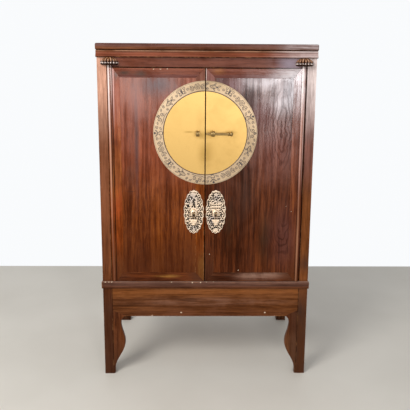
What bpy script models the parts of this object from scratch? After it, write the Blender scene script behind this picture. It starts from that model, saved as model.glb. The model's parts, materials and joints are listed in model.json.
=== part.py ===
"""Chinese wedding cabinet: a lacquered two-door cupboard on tall shaped legs.

The doors turn on round wooden posts, held at the top by carved lotus caps and at
the foot by sockets in the sill. A split brass medallion, a sliding lock pin and two
hinged drop pulls dress the doors.

Units are metres and +Z is up. The front faces -Y. In the cabinet's own coordinates
y = 0 is the front face of the front posts, and one parent empty then centres the
whole piece over the origin.
"""
import math

import bmesh
import bpy
from mathutils import Vector

# Fits
FIT = 0.0003
WELD = 0.00001
GROWTH = 0.02

# Carcass
WIDTH = 1.112
DEPTH = 0.716
POST_WIDTH = 0.049
POST_DEPTH = 0.050
REAR_POST_WIDTH = 0.062
RAIL_THICK = 0.036
SIDE_RAIL_THICK = 0.028
SIDE_RAIL_HEIGHT = 0.080
TENON_LENGTH = 0.022
TENON_THICK = 0.012
TENON_SHOULDER = 0.008
PANEL_THICK = 0.012
TONGUE_THICK = 0.006
TONGUE_DEPTH = 0.008

# Heights, stacked from the floor
LEG_CLEAR = 0.341
APRON_HEIGHT = 0.166
SILL_HEIGHT = 0.0385
DOOR_FOOT_GAP = 0.0025
DOOR_HEIGHT = 1.132
DOOR_HEAD_GAP = 0.002
FRIEZE_HEIGHT = 0.049
CORNICE_HEIGHT = 0.0355
TOP_THICK = 0.0335

# Top and mouldings
TOP_OVERHANG_FRONT = 0.014
TOP_OVERHANG_SIDE = 0.0055
TOP_ROUND = 0.007
CORNICE_PROUD_FRONT = 0.013
CORNICE_PROUD_SIDE = 0.0035
CORNICE_BEAD = 0.012
CORNICE_NECK = 0.4
CORNICE_LIP = 0.85
SILL_PROUD = 0.020
SILL_PROUD_SIDE = 0.004
SILL_DEPTH = 0.045
SILL_NOSE = 0.010
SILL_NOSE_TURN = math.radians(112)

# Legs and aprons
APRON_THICK = 0.022
APRON_SETBACK = 0.003
APRON_BEAD_HEIGHT = 0.020
APRON_BEAD_PROUD = 0.0022
SIDE_APRON_HEIGHT = 0.110
WING_TOP_RISE = 0.032
WING_ROOT = 0.1205
WING_NECK = 0.0935
WING_NECK_DROP = 0.043
WING_BELLY = 0.1150
WING_BELLY_Z = 0.188
WING_FOOT = 0.0560
WING_FOOT_Z = 0.026
CURVE_STEPS = 10

# Inside
FLOOR_THICK = 0.016
FLOOR_HOUSING = 0.010
SHELF_Z = 1.090
SHELF_THICK = 0.018
SHELF_SETBACK = 0.030
BATTEN_WIDTH = 0.022
BATTEN_HEIGHT = 0.026
BATTEN_SETBACK = 0.016

# Doors
MEETING_X = -0.007
MEETING_GAP = 0.005
LEAF_THICK = 0.020
LEAF_PROUD = 0.011
PIVOT_GAP = 0.0025
PIVOT_POST_RADIUS = 0.012
PIVOT_RADIUS = 0.007
PIVOT_PLAY = 0.0005
PIVOT_FOOT_LENGTH = 0.014
PIVOT_HEAD_LENGTH = 0.028
QUIRK = 0.003
QUIRK_DEPTH = 0.004
HINGE_STILE = 0.037
MEETING_STILE = 0.047
DOOR_TOP_RAIL = 0.049
DOOR_BOTTOM_RAIL = 0.050
DOOR_TENON_THICK = 0.006
DOOR_TENON_LENGTH = 0.024

# Pivot caps
CAP_RADIUS = 0.046
CAP_RISE = 0.030
CAP_DROP = 0.0098
CAP_LOBES = 16
CAP_FLUTE = 0.16
CAP_BLOCK_DEPTH = 0.011
CAP_SOCKET_ROOF = 0.003
PIVOT_LIFT = 0.002

# Brass medallion and lock
MEDALLION_Z = 1.350
MEDALLION_RADIUS = 0.2675
DISC_RADIUS = 0.2137
DISC_THICK = 0.0016
RING_THICK = 0.0026
RING_GAP = 0.001
PLATE_SETBACK = 0.0005
ARC_STEPS = 44
LOOP_OFFSET = 0.039
LOOP_WIDTH = 0.018
LOOP_RADIUS = 0.0135
LOOP_REACH = 0.019
SHANK_RADIUS = 0.004
ROVE_RADIUS = 0.008
ROVE_HEAD_RADIUS = 0.0064
ROVE_THICK = 0.002
PIN_RADIUS = 0.0060
PIN_PLAY = 0.0015
KEEPER_PLAY = 0.0028
PIN_TIP = 0.003
PIN_SHAFT = 0.112
PIN_TAPER = 0.016
PIN_POINT = 0.0015
PIN_POINT_RADIUS = 0.0027
PIN_END_RADIUS = 0.0012
PIN_COLLAR_RADIUS = 0.0095
PIN_COLLAR_START = 0.0010
PIN_COLLAR_END = 0.0052
PIN_WAIST = 0.0073
PIN_WAIST_RADIUS = 0.0051
PIN_KNOB_NECK = 0.0104
PIN_KNOB_NECK_RADIUS = 0.0092
PIN_KNOB_BELLY = 0.0166
PIN_KNOB_RADIUS = 0.0115
PIN_KNOB_SHOULDER = 0.0218
PIN_KNOB_SHOULDER_RADIUS = 0.0106
PIN_KNOB_LENGTH = 0.026
PIN_KNOB_END_RADIUS = 0.0063

# Drop pulls
PULL_OFFSET = 0.058
PULL_Z = 0.9345
PULL_WIDTH = 0.1075
PULL_HEIGHT = 0.237
PULL_THICK = 0.0022
PULL_LOBES = 18
PULL_LOBE_RISE = 0.005
PULL_HOLES = 14
PULL_HOLE_RING = 0.74
PULL_HOLE_HALF_WIDTH = 0.0042
PULL_HOLE_HALF_HEIGHT = 0.0062
PULL_HOLE_STEPS = 10
BOSS_Z = 0.930
BOSS_RADIUS = 0.019
BOSS_DEPTH = 0.016
BOSS_LEG = 0.012
BOSS_SLOT = 0.013
HINGE_PIN_RADIUS = 0.0026
EYE_RADIUS = 0.0052
HINGE_PLAY = 0.0004
DROP_THICK = 0.010
DROP_COLLAR_DROP = 0.024
DROP_COLLAR_HEIGHT = 0.010
DROP_COLLAR_HALF = 0.017
DROP_NECK_HALF = 0.0042
DROP_WAIST_HALF = 0.0094
DROP_WAIST_DROP = 0.037
DROP_BOWL_HALF = 0.015
DROP_BOWL_DROP = 0.048
DROP_FOOT_HALF = 0.0053
DROP_LENGTH = 0.062
EYE_WRAP = math.radians(130)
ROUND_STEPS = 24

# Levels and planes worked out from the sizes above
APRON_Z = LEG_CLEAR
SILL_Z = APRON_Z + APRON_HEIGHT
SILL_TOP = SILL_Z + SILL_HEIGHT
DOOR_Z = SILL_TOP + DOOR_FOOT_GAP
DOOR_TOP = DOOR_Z + DOOR_HEIGHT
FRIEZE_Z = DOOR_TOP + DOOR_HEAD_GAP
CORNICE_Z = FRIEZE_Z + FRIEZE_HEIGHT
TOP_Z = CORNICE_Z + CORNICE_HEIGHT
HALF = WIDTH / 2
POST_INNER = HALF - POST_WIDTH
REAR_INNER = HALF - REAR_POST_WIDTH
REAR_FRONT = DEPTH - POST_DEPTH
SIDE_INNER = HALF - SIDE_RAIL_THICK
SIDE_MIDDLE = HALF - SIDE_RAIL_THICK / 2
BACK_INNER = DEPTH - SIDE_RAIL_THICK
BACK_MIDDLE = DEPTH - SIDE_RAIL_THICK / 2
LEAF_FRONT = -LEAF_PROUD
LEAF_BACK = LEAF_FRONT + LEAF_THICK
AXIS_Y = LEAF_FRONT + LEAF_THICK / 2
AXIS_X = POST_INNER - PIVOT_GAP - PIVOT_POST_RADIUS
CAP_TOP = CORNICE_Z - FIT
CAP_RIM = CAP_TOP - CAP_RISE
CAP_Z = CAP_RIM - CAP_DROP
HEAD_Z = CAP_Z - FIT
SOCKET_TOP = HEAD_Z + PIVOT_HEAD_LENGTH + PIVOT_LIFT
PLATE_BACK = LEAF_FRONT - FIT
DISC_FRONT = PLATE_BACK - DISC_THICK
LOOP_BACK = DISC_FRONT - FIT
PIN_Y = LOOP_BACK - LOOP_REACH
LOOP_HOLE = PIN_RADIUS + PIN_PLAY
PIN_Z = MEDALLION_Z - PIN_PLAY + FIT
PULL_FRONT = PLATE_BACK - PULL_THICK
BOSS_BACK = PULL_FRONT - FIT
HINGE_Y = BOSS_BACK - BOSS_DEPTH / 2
BOSS_SLOT_TOP = math.hypot(EYE_RADIUS, DROP_THICK / 2) + 3 * HINGE_PLAY
FRONT_REACH = max(CAP_RADIUS, LOOP_RADIUS - PIN_Y, BOSS_DEPTH - BOSS_BACK)
CENTRE_Y = (FRONT_REACH - DEPTH) / 2

FACING_FRONT = (math.radians(90), 0, 0)
ALONG_X = (math.radians(90), 0, math.radians(90))
ALONG_Y = (math.radians(90), 0, 0)
LEFT = -1
RIGHT = 1
SIDES = {"left": LEFT, "right": RIGHT}

for old in list(bpy.data.objects):
    bpy.data.objects.remove(old)

parts = bpy.data.collections.new("wedding_cabinet")
cutters = bpy.data.collections.new("cutters")
bpy.context.scene.collection.children.link(parts)
bpy.context.scene.collection.children.link(cutters)


def material(name, colour, roughness, metallic=0.0):
    """A Principled material with one colour."""
    made = bpy.data.materials.new(name)
    made.use_nodes = True
    shader = made.node_tree.nodes["Principled BSDF"]
    shader.inputs["Base Color"].default_value = (*colour, 1)
    shader.inputs["Roughness"].default_value = roughness
    shader.inputs["Metallic"].default_value = metallic
    return made


FRAME_WOOD = material("lacquered_elm_frame", (0.10, 0.035, 0.018), 0.32)
PANEL_WOOD = material("lacquered_elm_panel", (0.085, 0.030, 0.018), 0.28)
INNER_WOOD = material("raw_elm", (0.30, 0.19, 0.10), 0.70)
CARVED_WOOD = material("carved_elm", (0.13, 0.05, 0.03), 0.35)
SATIN_BRASS = material("satin_brass", (0.80, 0.62, 0.28), 0.38, 1.0)
PALE_BRASS = material("pale_brass", (0.74, 0.64, 0.44), 0.42, 1.0)
DARK_BRASS = material("dark_brass", (0.42, 0.31, 0.15), 0.45, 1.0)

# Empties that carry the pieces, with their places in the cabinet's coordinates
anchor_places = {}


def anchor(name, place, parent=None):
    """An empty at a place in the cabinet's coordinates."""
    empty = bpy.data.objects.new(name, None)
    parts.objects.link(empty)
    anchor_places[name] = Vector(place)
    empty.location = Vector(place)
    if parent:
        empty.parent = parent
        empty.location -= anchor_places[parent.name]
    return empty


carcass = anchor("carcass", (0, 0, 0))
carcass.location.y = CENTRE_Y


def hang(obj, parent):
    """Parents an object that was placed in the cabinet's coordinates."""
    obj.parent = parent
    obj.location -= anchor_places[parent.name]


def part(obj, finish, parent=carcass):
    """Keeps an object as a sub-part, with its material and its parent."""
    parts.objects.link(obj)
    obj.data.materials.append(finish)
    hang(obj, parent)
    return obj


def helper(obj, parent=carcass):
    """Keeps an object as a cutter, or as a shape that is fused to a part."""
    cutters.objects.link(obj)
    obj.hide_render = True
    obj.display_type = "WIRE"
    hang(obj, parent)
    return obj


def combine(obj, other, operation):
    """Adds a Boolean of another object."""
    boolean = obj.modifiers.new(operation.lower(), "BOOLEAN")
    boolean.operation = operation
    boolean.solver = "EXACT"
    boolean.object = other


def cut(obj, *others):
    """Takes other objects out of a part."""
    for other in others:
        combine(obj, other, "DIFFERENCE")


def fuse(obj, *others):
    """Joins other objects to a part."""
    for other in others:
        combine(obj, other, "UNION")


def from_bmesh(name, shape, place):
    """An object from a bmesh, with its origin at a place."""
    mesh = bpy.data.meshes.new(name)
    bmesh.ops.recalc_face_normals(shape, faces=shape.faces)
    shape.to_mesh(mesh)
    shape.free()
    obj = bpy.data.objects.new(name, mesh)
    obj.location = Vector(place)
    return obj


def box(name, low, high):
    """A box between two corners, with its origin in its middle."""
    low = Vector(low)
    high = Vector(high)
    shape = bmesh.new()
    bmesh.ops.create_cube(shape, size=1)
    bmesh.ops.scale(shape, vec=high - low, verts=shape.verts)
    return from_bmesh(name, shape, (low + high) / 2)


def grown(name, low, high, by=FIT, parent=carcass):
    """A cutter: a box that is larger than its two corners on every side."""
    margin = Vector((by, by, by))
    return helper(box(name, Vector(low) - margin, Vector(high) + margin), parent)


def cylinder(name, radius, start, end, steps=ROUND_STEPS):
    """A plain cylinder between two points, along one axis."""
    start = Vector(start)
    end = Vector(end)
    shape = bmesh.new()
    bmesh.ops.create_cone(
        shape, cap_ends=True, segments=steps, radius1=radius, radius2=radius, depth=(end - start).length
    )
    obj = from_bmesh(name, shape, (start + end) / 2)
    obj.rotation_euler = (end - start).to_track_quat("Z", "Y").to_euler()
    return obj


def prism(name, outlines, thick, place, turn):
    """Flat outlines with a thickness; each outline after the first is a hole."""
    curve = bpy.data.curves.new(name + "_outline", "CURVE")
    curve.dimensions = "2D"
    curve.fill_mode = "BOTH"
    curve.extrude = thick / 2
    for outline in outlines:
        spline = curve.splines.new("POLY")
        spline.points.add(len(outline) - 1)
        for point, (across, up) in zip(spline.points, outline):
            point.co = (across, up, 0, 1)
        spline.use_cyclic_u = True
    sketch = bpy.data.objects.new(name + "_outline", curve)
    sketch.location = Vector(place)
    sketch.rotation_euler = turn
    bpy.context.scene.collection.objects.link(sketch)
    graph = bpy.context.evaluated_depsgraph_get()
    mesh = bpy.data.meshes.new_from_object(sketch.evaluated_get(graph))
    shape = bmesh.new()
    shape.from_mesh(mesh)
    bmesh.ops.remove_doubles(shape, verts=shape.verts, dist=WELD)
    obj = from_bmesh(name, shape, place)
    obj.matrix_world = sketch.matrix_world.copy()
    bpy.data.objects.remove(sketch)
    bpy.data.meshes.remove(mesh)
    bpy.data.curves.remove(curve)
    return obj


def turned(name, profile, place, turn=(0, 0, 0), steps=ROUND_STEPS):
    """A shape turned about its own Z from (radius, height) points, top to bottom."""
    shape = bmesh.new()
    verts = [shape.verts.new((radius, 0, height)) for radius, height in profile]
    for upper, lower in zip(verts, verts[1:]):
        shape.edges.new((upper, lower))
    obj = from_bmesh(name, shape, place)
    obj.rotation_euler = turn
    screw = obj.modifiers.new("turn", "SCREW")
    screw.axis = "Z"
    screw.steps = steps
    screw.render_steps = steps
    screw.use_merge_vertices = True
    screw.merge_threshold = WELD
    screw.use_smooth_shade = True
    return obj


def rounded(obj, width, segments=3):
    """Rounds the edges of a part."""
    bevel = obj.modifiers.new("round", "BEVEL")
    bevel.width = width
    bevel.segments = segments
    return obj


def eased(start, end, steps=CURVE_STEPS):
    """Points of an S curve that leaves and arrives along the second axis."""
    points = []
    for step in range(1, steps + 1):
        share = step / steps
        sway = (1 - math.cos(math.pi * share)) / 2
        points.append((start[0] + (end[0] - start[0]) * sway, start[1] + (end[1] - start[1]) * share))
    return points


def arc(radius, start, end, steps, middle=(0, 0)):
    """Points of an arc; angles run from +Z towards +X."""
    points = []
    for step in range(steps + 1):
        angle = start + (end - start) * step / steps
        points.append((middle[0] + radius * math.sin(angle), middle[1] + radius * math.cos(angle)))
    return points


# Posts

posts = {}


def post(name, low, high):
    """A square corner post from the floor to the top board."""
    posts[name] = part(box(name, low, high), FRAME_WOOD)


for side, sign in SIDES.items():
    outer = sign * HALF
    inner = sign * POST_INNER
    rear = sign * REAR_INNER
    post(
        "front_post_" + side,
        (min(outer, inner), 0, 0),
        (max(outer, inner), POST_DEPTH, TOP_Z - FIT),
    )
    post(
        "rear_post_" + side,
        (min(outer, rear), REAR_FRONT, 0),
        (max(outer, rear), DEPTH, TOP_Z - FIT),
    )


# Rails, each with a tenon at both ends that its posts take up

def tenoned(name, low, high, along, ends, finish=FRAME_WOOD):
    """A rail between two posts, with one tenon bar through its length."""
    rail = part(box(name, low, high), finish)
    fuse_tenon(rail, low, high, along, ends)
    return rail


def fuse_tenon(rail, low, high, along, ends):
    """Fuses the tenon bar to a rail and cuts its mortises in the posts."""
    across = 1 - along
    tenon_low = Vector(low)
    tenon_high = Vector(high)
    middle = (tenon_low[across] + tenon_high[across]) / 2
    tenon_low[across] = middle - TENON_THICK / 2
    tenon_high[across] = middle + TENON_THICK / 2
    tenon_low[along] -= TENON_LENGTH
    tenon_high[along] += TENON_LENGTH
    tenon_low.z += TENON_SHOULDER
    tenon_high.z -= TENON_SHOULDER
    fuse(rail, helper(box(rail.name + "_tenon", tenon_low, tenon_high)))
    mortise = grown(rail.name + "_mortise", tenon_low, tenon_high)
    for end in ends:
        cut(posts[end], mortise)


FRONT_ENDS = ("front_post_left", "front_post_right")
REAR_ENDS = ("rear_post_left", "rear_post_right")
FRONT_SPAN = POST_INNER - FIT
REAR_SPAN = REAR_INNER - FIT

frieze_rail = tenoned(
    "frieze_rail",
    (-FRONT_SPAN, 0, FRIEZE_Z),
    (FRONT_SPAN, RAIL_THICK, TOP_Z - FIT),
    0,
    FRONT_ENDS,
)


def back_rail(name, bottom, top):
    """A rail between the rear posts, flush with their backs."""
    return tenoned(
        name,
        (-REAR_SPAN, BACK_INNER, bottom),
        (REAR_SPAN, DEPTH, top),
        0,
        REAR_ENDS,
    )


def side_rail(name, sign, bottom, top):
    """A rail between a front and a rear post, flush with their outer faces."""
    side = "left" if sign == LEFT else "right"
    outer = sign * HALF
    inner = sign * SIDE_INNER
    return tenoned(
        name + "_" + side,
        (min(outer, inner), POST_DEPTH + FIT, bottom),
        (max(outer, inner), REAR_FRONT - FIT, top),
        1,
        ("front_post_" + side, "rear_post_" + side),
    )


LOWER_RAIL_TOP = SILL_Z + SIDE_RAIL_HEIGHT
UPPER_RAIL_Z = TOP_Z - SIDE_RAIL_HEIGHT
back_top_rail = back_rail("back_top_rail", UPPER_RAIL_Z, TOP_Z - FIT)
back_bottom_rail = back_rail("back_bottom_rail", SILL_Z, LOWER_RAIL_TOP)
back_rail("rear_apron", SILL_Z - SIDE_APRON_HEIGHT, SILL_Z - FIT)
side_top_rails = {}
side_bottom_rails = {}
for side, sign in SIDES.items():
    side_top_rails[side] = side_rail("side_top_rail", sign, UPPER_RAIL_Z, TOP_Z - FIT)
    side_bottom_rails[side] = side_rail("side_bottom_rail", sign, SILL_Z, LOWER_RAIL_TOP)
    side_rail("side_apron", sign, SILL_Z - SIDE_APRON_HEIGHT, SILL_Z - FIT)


# Sill: the front bottom rail, with a round nose that laps over the posts

def sill_outline():
    """The section of the sill: depth across, height up."""
    nose_middle = (-SILL_PROUD + SILL_NOSE, SILL_TOP - SILL_NOSE)
    nose = arc(SILL_NOSE, 0, -SILL_NOSE_TURN, CURVE_STEPS, nose_middle)
    foot = (-SILL_PROUD + SILL_NOSE / 2, SILL_Z + FIT)
    return [(SILL_DEPTH, SILL_Z + FIT), (SILL_DEPTH, SILL_TOP), *nose, foot]


sill_half = HALF + SILL_PROUD_SIDE
sill = part(prism("sill", [sill_outline()], 2 * sill_half, (0, 0, 0), ALONG_X), FRAME_WOOD)
for side, sign in SIDES.items():
    near = sign * FRONT_SPAN
    far = sign * (sill_half + GROWTH)
    cut(
        sill,
        helper(
            box(
                "sill_lap_" + side,
                (min(near, far), -FIT, SILL_Z - GROWTH),
                (max(near, far), SILL_DEPTH + GROWTH, SILL_TOP + GROWTH),
            )
        ),
    )
fuse_tenon(sill, (-FRONT_SPAN, 0, SILL_Z), (FRONT_SPAN, RAIL_THICK, SILL_TOP), 0, FRONT_ENDS)


def side_moulding(side, sign):
    """A half-round strip along one side, level with the sill's nose."""
    outer = HALF + FIT
    strip = [
        (sign * outer, SILL_Z + FIT),
        (sign * (outer + SILL_PROUD_SIDE / 2), SILL_Z + FIT),
        (sign * (outer + SILL_PROUD_SIDE - FIT), SILL_Z + SILL_HEIGHT / 2),
        (sign * (outer + SILL_PROUD_SIDE - FIT), SILL_TOP - SILL_NOSE),
        (sign * (outer + SILL_PROUD_SIDE / 2), SILL_TOP),
        (sign * outer, SILL_TOP),
    ]
    place = (0, DEPTH / 2, 0)
    part(prism("base_moulding_" + side, [strip], DEPTH, place, ALONG_Y), FRAME_WOOD)


for side, sign in SIDES.items():
    side_moulding(side, sign)


# Side and back panels, with a tongue all round in the posts and rails

def tongued_panel(name, low, high, across, holders):
    """A panel whose middle plane is square to one axis, tongued into its holders."""
    low = Vector(low)
    high = Vector(high)
    middle = (low[across] + high[across]) / 2
    tongue_low = low - Vector((TONGUE_DEPTH, TONGUE_DEPTH, TONGUE_DEPTH))
    tongue_high = high + Vector((TONGUE_DEPTH, TONGUE_DEPTH, TONGUE_DEPTH))
    tongue_low[across] = middle - TONGUE_THICK / 2
    tongue_high[across] = middle + TONGUE_THICK / 2
    panel = part(box(name, low, high), PANEL_WOOD)
    fuse(panel, helper(box(name + "_tongue", tongue_low, tongue_high)))
    groove = grown(name + "_groove", tongue_low, tongue_high)
    for holder in holders:
        cut(holder, groove)
    return panel


for side, sign in SIDES.items():
    tongued_panel(
        "side_panel_" + side,
        (sign * SIDE_MIDDLE - PANEL_THICK / 2, POST_DEPTH + FIT, LOWER_RAIL_TOP + FIT),
        (sign * SIDE_MIDDLE + PANEL_THICK / 2, REAR_FRONT - FIT, UPPER_RAIL_Z - FIT),
        0,
        (
            posts["front_post_" + side],
            posts["rear_post_" + side],
            side_top_rails[side],
            side_bottom_rails[side],
        ),
    )
tongued_panel(
    "back_panel",
    (-REAR_SPAN, BACK_MIDDLE - PANEL_THICK / 2, LOWER_RAIL_TOP + FIT),
    (REAR_SPAN, BACK_MIDDLE + PANEL_THICK / 2, UPPER_RAIL_Z - FIT),
    1,
    (posts["rear_post_left"], posts["rear_post_right"], back_top_rail, back_bottom_rail),
)


# Cupboard floor, housed in the rails and notched round the posts

floor_low = (-SIDE_INNER - FLOOR_HOUSING, SILL_DEPTH - FLOOR_HOUSING, SILL_TOP - FLOOR_THICK)
floor_high = (SIDE_INNER + FLOOR_HOUSING, BACK_INNER + FLOOR_HOUSING, SILL_TOP)
cupboard_floor = part(box("cupboard_floor", floor_low, floor_high), INNER_WOOD)
floor_housing = grown("floor_housing", floor_low, floor_high)
for holder in (sill, back_bottom_rail, *side_bottom_rails.values()):
    cut(holder, floor_housing)
post_notches = {}
for name in posts:
    inner = POST_INNER if name.startswith("front") else REAR_INNER
    near, far = (0, POST_DEPTH) if name.startswith("front") else (REAR_FRONT, DEPTH)
    sign = LEFT if name.endswith("left") else RIGHT
    post_notches[name] = grown(
        name + "_notch",
        (min(sign * inner, sign * HALF), near, 0),
        (max(sign * inner, sign * HALF), far, TOP_Z),
    )
    cut(cupboard_floor, post_notches[name])


# Shelf on two battens

for side, sign in SIDES.items():
    outer = sign * (POST_INNER - FIT)
    inner = sign * (POST_INNER - BATTEN_WIDTH)
    part(
        box(
            "shelf_batten_" + side,
            (min(outer, inner), BATTEN_SETBACK, SHELF_Z - BATTEN_HEIGHT - FIT),
            (max(outer, inner), REAR_FRONT - FIT, SHELF_Z - FIT),
        ),
        INNER_WOOD,
    )
shelf = part(
    box(
        "shelf",
        (-FRONT_SPAN, SHELF_SETBACK, SHELF_Z),
        (FRONT_SPAN, BACK_INNER, SHELF_Z + SHELF_THICK),
    ),
    INNER_WOOD,
)
cut(shelf, post_notches["rear_post_left"], post_notches["rear_post_right"])


# Top board and cornice

top_board = part(
    box(
        "top_board",
        (-HALF - TOP_OVERHANG_SIDE, -TOP_OVERHANG_FRONT, TOP_Z),
        (HALF + TOP_OVERHANG_SIDE, DEPTH, TOP_Z + TOP_THICK),
    ),
    FRAME_WOOD,
)
rounded(top_board, TOP_ROUND)


def cornice_outline(inner, proud, sign):
    """The section of a cornice strip: a hollow that flares to a bead at its foot."""
    bead_top = CORNICE_Z + CORNICE_BEAD
    drop = TOP_Z - FIT - bead_top
    flare = proud * (CORNICE_LIP - CORNICE_NECK)
    section = [(inner, CORNICE_Z), (inner + proud * CORNICE_LIP, CORNICE_Z)]
    section.append((inner + proud, CORNICE_Z + CORNICE_BEAD / 4))
    section.append((inner + proud, bead_top - CORNICE_BEAD / 4))
    for step in range(CURVE_STEPS + 1):
        turn = math.pi / 2 * (1 - step / CURVE_STEPS)
        reach = proud * CORNICE_NECK + flare * (1 - math.cos(turn))
        section.append((inner + reach, bead_top + drop * (1 - math.sin(turn))))
    section.append((inner, TOP_Z - FIT))
    return [(sign * across, height) for across, height in section]


cornice_span = 2 * (HALF + CORNICE_PROUD_SIDE)
front_section = cornice_outline(FIT, CORNICE_PROUD_FRONT, -1)
part(prism("cornice_front", [front_section], cornice_span, (0, 0, 0), ALONG_X), FRAME_WOOD)
for side, sign in SIDES.items():
    side_section = cornice_outline(HALF + FIT, CORNICE_PROUD_SIDE - FIT, sign)
    place = (0, DEPTH / 2, 0)
    part(prism("cornice_" + side, [side_section], DEPTH, place, ALONG_Y), FRAME_WOOD)


# Front apron and the shaped wings that turn the posts into legs

def apron_outline():
    """The front apron, with its lower corners cut for the wings."""
    root = HALF - WING_ROOT
    return [
        (-FRONT_SPAN, SILL_Z),
        (-FRONT_SPAN, APRON_Z + WING_TOP_RISE),
        (-root, APRON_Z),
        (root, APRON_Z),
        (FRONT_SPAN, APRON_Z + WING_TOP_RISE),
        (FRONT_SPAN, SILL_Z),
    ]


APRON_MIDDLE_Y = APRON_SETBACK + APRON_THICK / 2
front_apron = part(
    prism("front_apron", [apron_outline()], APRON_THICK, (0, APRON_MIDDLE_Y, 0), FACING_FRONT),
    FRAME_WOOD,
)
apron_bead_half = HALF - WING_ROOT - APRON_BEAD_HEIGHT
fuse(
    front_apron,
    helper(
        box(
            "apron_bead",
            (-apron_bead_half, APRON_SETBACK - APRON_BEAD_PROUD, APRON_Z),
            (apron_bead_half, APRON_MIDDLE_Y, APRON_Z + APRON_BEAD_HEIGHT),
        )
    ),
)
fuse_tenon(
    front_apron,
    (-FRONT_SPAN, APRON_SETBACK, APRON_Z + 2 * WING_TOP_RISE),
    (FRONT_SPAN, APRON_SETBACK + APRON_THICK, SILL_Z),
    0,
    FRONT_ENDS,
)


def wing_outline(sign):
    """The inner S curve of a front leg, from the apron down to the floor."""
    root = (HALF - WING_ROOT, APRON_Z - FIT)
    neck = (HALF - WING_NECK, APRON_Z - WING_NECK_DROP)
    belly = (HALF - WING_BELLY, WING_BELLY_Z)
    foot = (HALF - WING_FOOT, WING_FOOT_Z)
    scoop = []
    for step in range(1, CURVE_STEPS + 1):
        angle = math.pi / 2 * step / CURVE_STEPS
        across = root[0] + (neck[0] - root[0]) * math.sin(angle)
        scoop.append((across, neck[1] + (root[1] - neck[1]) * math.cos(angle)))
    half = [
        (FRONT_SPAN, 0),
        (FRONT_SPAN, APRON_Z + WING_TOP_RISE - 2 * FIT),
        root,
        *scoop,
        *eased(neck, belly),
        *eased(belly, foot),
        (foot[0], 0),
    ]
    return [(sign * across, up) for across, up in half]


for side, sign in SIDES.items():
    part(
        prism("leg_wing_" + side, [wing_outline(sign)], APRON_THICK, (0, APRON_MIDDLE_Y, 0), FACING_FRONT),
        FRAME_WOOD,
    )


# Carved lotus caps that hold the heads of the door posts

def lotus_dome(name, sign):
    """A squat dome whose rim is drawn into rounded lobes."""
    shape = bmesh.new()
    bmesh.ops.create_uvsphere(shape, u_segments=CAP_LOBES * 4, v_segments=12, radius=1)
    for vert in shape.verts:
        bearing = math.atan2(vert.co.y, vert.co.x)
        flute = 1 - abs(math.cos(CAP_LOBES * bearing / 2))
        reach = CAP_RADIUS * (1 - CAP_FLUTE * flute)
        vert.co.x *= reach
        vert.co.y *= reach
        vert.co.z *= CAP_RISE if vert.co.z > 0 else CAP_DROP
    return from_bmesh(name, shape, (sign * AXIS_X, 0, CAP_RIM))


for side, sign in SIDES.items():
    name = "pivot_cap_" + side
    middle = sign * AXIS_X
    cap = part(lotus_dome(name, sign), CARVED_WOOD)
    cap_half = POST_INNER - AXIS_X - FIT
    block_low = (middle - cap_half, -CAP_BLOCK_DEPTH, CAP_Z)
    block_high = (middle + cap_half, CAP_BLOCK_DEPTH, SOCKET_TOP + CAP_SOCKET_ROOF)
    cut(
        cap,
        helper(
            box(
                name + "_back",
                (middle - CAP_RADIUS - GROWTH, -FIT, CAP_Z - GROWTH),
                (middle + CAP_RADIUS + GROWTH, CAP_RADIUS + GROWTH, CAP_TOP + GROWTH),
            )
        ),
    )
    fuse(cap, helper(box(name + "_block", block_low, block_high)))
    socket_top = (middle, AXIS_Y, SOCKET_TOP)
    socket_foot = (middle, AXIS_Y, CAP_Z - GROWTH)
    cut(cap, helper(cylinder(name + "_socket", PIVOT_RADIUS + PIVOT_PLAY, socket_foot, socket_top)))
    housing_low = (block_low[0], -GROWTH, CAP_Z)
    cut(frieze_rail, grown(name + "_housing", housing_low, block_high))
    notch_foot = (middle, AXIS_Y, FRIEZE_Z - GROWTH)
    notch_top = (middle, AXIS_Y, CAP_Z)
    notch_radius = PIVOT_POST_RADIUS + 2 * PIVOT_PLAY
    cut(frieze_rail, helper(cylinder(name + "_notch", notch_radius, notch_foot, notch_top)))
    sill_socket_foot = (middle, AXIS_Y, DOOR_Z - PIVOT_FOOT_LENGTH - FIT)
    sill_socket_top = (middle, AXIS_Y, SILL_TOP + GROWTH)
    cut(
        sill,
        helper(
            cylinder("sill_socket_" + side, PIVOT_RADIUS + PIVOT_PLAY, sill_socket_foot, sill_socket_top)
        ),
    )


# Doors

door_axes = {
    side: anchor(side + "_door_axis", (sign * AXIS_X, AXIS_Y, DOOR_Z), carcass)
    for side, sign in SIDES.items()
}


def leaf_prism(name, outline, axis, finish):
    """A flat member of a door leaf, from its outline in the leaf's plane."""
    place = (0, LEAF_FRONT + LEAF_THICK / 2, 0)
    return part(prism(name, [outline], LEAF_THICK, place, FACING_FRONT), finish, axis)


def post_profile():
    """The turned post of a door: head pivot, post and foot pivot."""
    return [
        (0, HEAD_Z + PIVOT_HEAD_LENGTH),
        (PIVOT_RADIUS, HEAD_Z + PIVOT_HEAD_LENGTH),
        (PIVOT_RADIUS, HEAD_Z),
        (PIVOT_POST_RADIUS, HEAD_Z),
        (PIVOT_POST_RADIUS, DOOR_Z),
        (PIVOT_RADIUS, DOOR_Z),
        (PIVOT_RADIUS, DOOR_Z - PIVOT_FOOT_LENGTH),
        (0, DOOR_Z - PIVOT_FOOT_LENGTH),
    ]


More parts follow.
